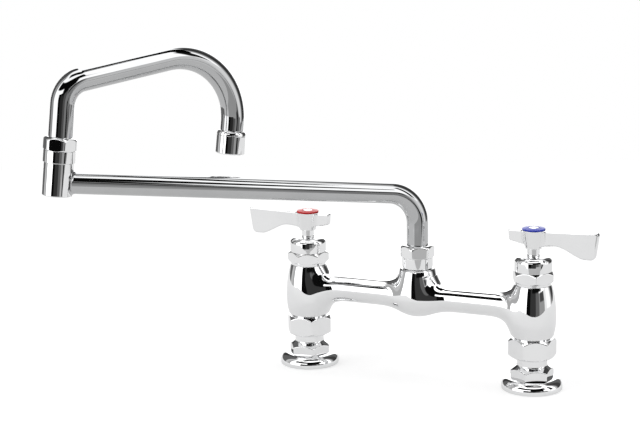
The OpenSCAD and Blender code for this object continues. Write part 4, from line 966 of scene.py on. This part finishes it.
# %% Panels of the studio
TABLE_EDGE = -12.3  # elevation, in degrees, at which an upright surface stops showing the table
FADE_RIGHT = ramp(azimuth, 92, 112, 0.75, 0.05)
all_round = between(elevation, -91, 62, 6)
low_band = between(elevation, TABLE_EDGE, 13, 1.0)
front_band = between(elevation, TABLE_EDGE, 21, 0.8)
under_edge = math_node("SUBTRACT", 1.0, above(elevation, TABLE_EDGE, 0.6))
nut_band = between(elevation, -12.8, -10.9, 0.15)
leg_band = between(elevation, -12.1, -8.0, 0.3)
panels = [  # level, azimuth from and to, softness of those edges, band of elevation
    (0.12, -164, -110, 2, all_round), (0.04, -164, -150, 2, all_round), (0.55, -112, -86, 3, all_round),
    (0.42, -99, -85, 2, all_round), (FADE_RIGHT, 92, 154, 2, all_round), (0.12, 134, 154, 2, all_round),
    (1.1, 60, 92, 2, low_band), (0.85, 50, 68, 2, low_band), (0.01, 67, 82, 2, between(elevation, 15, 50, 2)),
    (0.30, 20, 55, 2, low_band), (0.06, 30, 52, 2, between(elevation, 3, 13, 1.0)),
    (0.12, -38.5, 26, 1.2, front_band), (0.035, -38.5, 8, 1.2, front_band),
    (0.003, -38.5, -20, 1.2, front_band), (0.004, -12, 41, 2, between(elevation, 14, 38, 1.5)),
    (0.003, -72, 55, 1.5, between(elevation, 31.5, 53, 1.5)), (0.80, -190, 190, 4, under_edge),
    (0.46, -36, 12, 2, under_edge), (0.45, 10, 52, 2, under_edge), (0.20, 85, 190, 4, under_edge),
    (0.20, -190, -85, 4, under_edge), (0.46, 10, 42, 2, nut_band), (0.03, 40, 52, 2, nut_band),
    (0.20, 51, 80, 2, nut_band), (0.01, 44, 56, 1.5, leg_band), (0.02, -93, -84, 1.5, leg_band),
]
for panel, start, end, soft, band in panels:
    paint(panel, between(azimuth, start, end, soft), band)
paint(0.002, between(over_right, -0.30, 0.42, 0.03), between(over_front, 0.0, 0.35, 0.02),
      above(elevation, 52, 3))
print("nodes in the world:", len(tree.nodes))

# %% Which rays see what
rays = tree.nodes.new("ShaderNodeLightPath")
LIGHT_LEVEL = 0.62
reflected = add(tree, "ShaderNodeMix", {"Factor": rays.outputs["Is Glossy Ray"], "A": LIGHT_LEVEL,
                                        "B": brightness}).outputs["Result"]
seen_straight = math_node("MAXIMUM", rays.outputs["Is Camera Ray"], rays.outputs["Is Transmission Ray"])
level = add(tree, "ShaderNodeMix", {"Factor": seen_straight, "A": reflected, "B": 1.0}).outputs["Result"]
background = add(tree, "ShaderNodeBackground", {"Color": (1, 1, 1, 1), "Strength": level})
tree.links.new(background.outputs[0], tree.nodes.new("ShaderNodeOutputWorld").inputs["Surface"])
print("light on matt surfaces:", LIGHT_LEVEL)

# %% The table's paint
# The second, half-pale colour is painted shade: the table as reflected rays see it.
PAINT, REFLECTED_SHADE, OWN_LIGHT = (0.72, 0.72, 0.72, 1), (0.36, 0.36, 0.36, 1), 0.42

def table_material():
    """Pale matt paint. For straight rays a little light of its own lifts it to the white of the
    surround, and the faucet's shadow stays. Reflected rays see painted shade, a paint half as pale, and
    a painted glow, mid grey from above and paler at a flat angle, by the Layer Weight's facing value."""
    mat = bpy.data.materials.new("Pale table")
    mat.use_nodes = True
    tree = mat.node_tree
    tree.nodes.clear()
    path = tree.nodes.new("ShaderNodeLightPath")
    straight_ray, glossy_ray = path.outputs["Is Camera Ray"], path.outputs["Is Glossy Ray"]
    facing = add(tree, "ShaderNodeLayerWeight", {"Blend": 0.5}).outputs["Facing"]
    seen = add(tree, "ShaderNodeMapRange", {"Value": facing, "From Min": 0.55, "From Max": 0.92,
                                            "To Min": 0.40, "To Max": 0.50}).outputs["Result"]
    pale = add(tree, "ShaderNodeBsdfDiffuse", {"Color": PAINT}).outputs[0]
    # Reflected rays see the half-pale paint, which is painted shade, and an added glow, a painted reflection
    # level from 0.40 seen from above to 0.50 at a flat angle.
    dim = add(tree, "ShaderNodeBsdfDiffuse", {"Color": REFLECTED_SHADE}).outputs[0]
    body = add(tree, "ShaderNodeMixShader", {0: glossy_ray, 1: pale, 2: dim}).outputs[0]
    lift = add(tree, "ShaderNodeMath", {0: straight_ray, 1: OWN_LIGHT}, operation="MULTIPLY").outputs[0]
    gleam = add(tree, "ShaderNodeMath", {0: glossy_ray, 1: seen}, operation="MULTIPLY").outputs[0]
    both = add(tree, "ShaderNodeMath", {0: lift, 1: gleam}, operation="ADD").outputs[0]
    glow = add(tree, "ShaderNodeEmission", {"Color": (1, 1, 1, 1), "Strength": both}).outputs[0]
    out = add(tree, "ShaderNodeAddShader", {0: body, 1: glow}).outputs[0]
    tree.links.new(out, tree.nodes.new("ShaderNodeOutputMaterial").inputs["Surface"])
    return mat

def flat_sheet(name, corners, material):
    """One flat face through these corners."""
    mesh = bpy.data.meshes.new(name)
    mesh.from_pydata(corners.tolist(), [], [list(range(len(corners)))])
    sheet = bpy.data.objects.new(name, mesh)
    bpy.context.scene.collection.objects.link(sheet)
    sheet.data.materials.append(material)
    return sheet

# %% The table
CORNER_R, HALF_W, FRONT_EDGE, BACK_EDGE, TABLE_Z = 0.12, 0.75, -0.395, 1.0, -0.0002
a = np.linspace(0, 2 * np.pi, 96, endpoint=False)
across = np.sign(np.cos(a)) * (HALF_W - CORNER_R) + CORNER_R * np.cos(a)
along = np.where(np.sin(a) < 0, FRONT_EDGE + CORNER_R, BACK_EDGE - CORNER_R) + CORNER_R * np.sin(a)
outline = across[:, None] * np.array(to_right) - along[:, None] * np.array(to_camera)
outline[:, 2] = TABLE_Z
table = flat_sheet("table", outline, table_material())
table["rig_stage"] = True
print("the table's front edge is", round(-1000 * FRONT_EDGE), "mm in front of the origin")

# %% [markdown]
# ## The card overhead
# A black card hangs above the spout. It shows only in the chrome, as the long dark line along the top
# of the tubes. The world's panels are infinitely far away, so a piece reflects them by its
# slope alone. This card is near, so it is a real sheet and its reflection also depends on the place.

# %% Black card
CARD_Z = 0.582
spots = np.array([(-228, 45), (-165, 0), (-36, -35), (10, 0), (120, 45), (200, 90), (190, 125), (60, 130),
                  (-124, 70), (-195, 112)]) / 1000
corners = spots[:, :1] * np.array(to_right) + spots[:, 1:] * np.array(to_camera) + np.array([0, 0, CARD_Z])
card_black = bpy.data.materials.new("Black card")
card_black.use_nodes = True
card_shader = card_black.node_tree.nodes["Principled BSDF"]
card_shader.inputs["Base Color"].default_value = (0.003, 0.003, 0.003, 1)
card_shader.inputs["Specular IOR Level"].default_value = 0.0
card = flat_sheet("card", corners, card_black)
card.visible_camera = card.visible_diffuse = card.visible_shadow = card.visible_transmission = False
card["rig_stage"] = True
print("the card hangs", round(1000 * CARD_Z), "mm above the deck")

# %% Lamps
def soft_panel(name, place, size, watts):
    """A square lamp that faces the faucet. Reflections of it are left to the world's panels."""
    lamp = bpy.data.lights.new(name, "AREA")
    lamp.size, lamp.energy = size, watts
    obj = bpy.data.objects.new(name, lamp)
    bpy.context.scene.collection.objects.link(obj)
    obj.location = place
    obj.rotation_euler = (Vector((0, 0, 0.1)) - Vector(place)).to_track_quat("-Z", "Y").to_euler()
    obj.visible_glossy = False

soft_panel("left panel", (-1.1, -0.9, 1.3), 1.2, 9.0)
soft_panel("top panel", (0.3, 0.3, 1.6), 1.4, 7.0)

# %% [markdown]
# ## The camera
# The photograph was fitted with a pinhole camera: focal length 1671.4 px for a 640 px frame, which is a
# 94 mm lens on a 36 mm sensor, standing about 1.4 m from the faucet, a little above it and to the right.
# Aiming a camera by eye would leave it a degree or so out, so its place and its three axes are written
# as they were fitted.

# %% Camera
camera = bpy.data.objects.new("camera", bpy.data.cameras.new("camera"))
bpy.context.scene.collection.objects.link(camera)
camera.data.sensor_width = 36.0
camera.data.lens = 94.0157
across = Vector((0.91321016, 0.40724365, -0.01413575))
down = Vector((0.07194102, -0.19527265, -0.97810689))
ahead = Vector((-0.40108815, 0.8922002, -0.20762249))
rotation = Matrix((across, -down, -ahead)).transposed().to_4x4()
camera.matrix_world = Matrix.Translation((0.48934764, -1.28843218, 0.43446096)) @ rotation
camera.data.clip_start, camera.data.clip_end = 0.05, 20.0
bpy.context.scene.camera = camera
bpy.context.scene.view_settings.view_transform = "Standard"
print("camera looks along", [round(v, 3) for v in ahead])

# %% Check the size against the CAD model
low_corner, high_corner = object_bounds()
growth = (*(low_corner - cad_low), *(high_corner - cad_high))
print("visual box less CAD box in mm:", [round(1000 * v, 2) for v in growth])
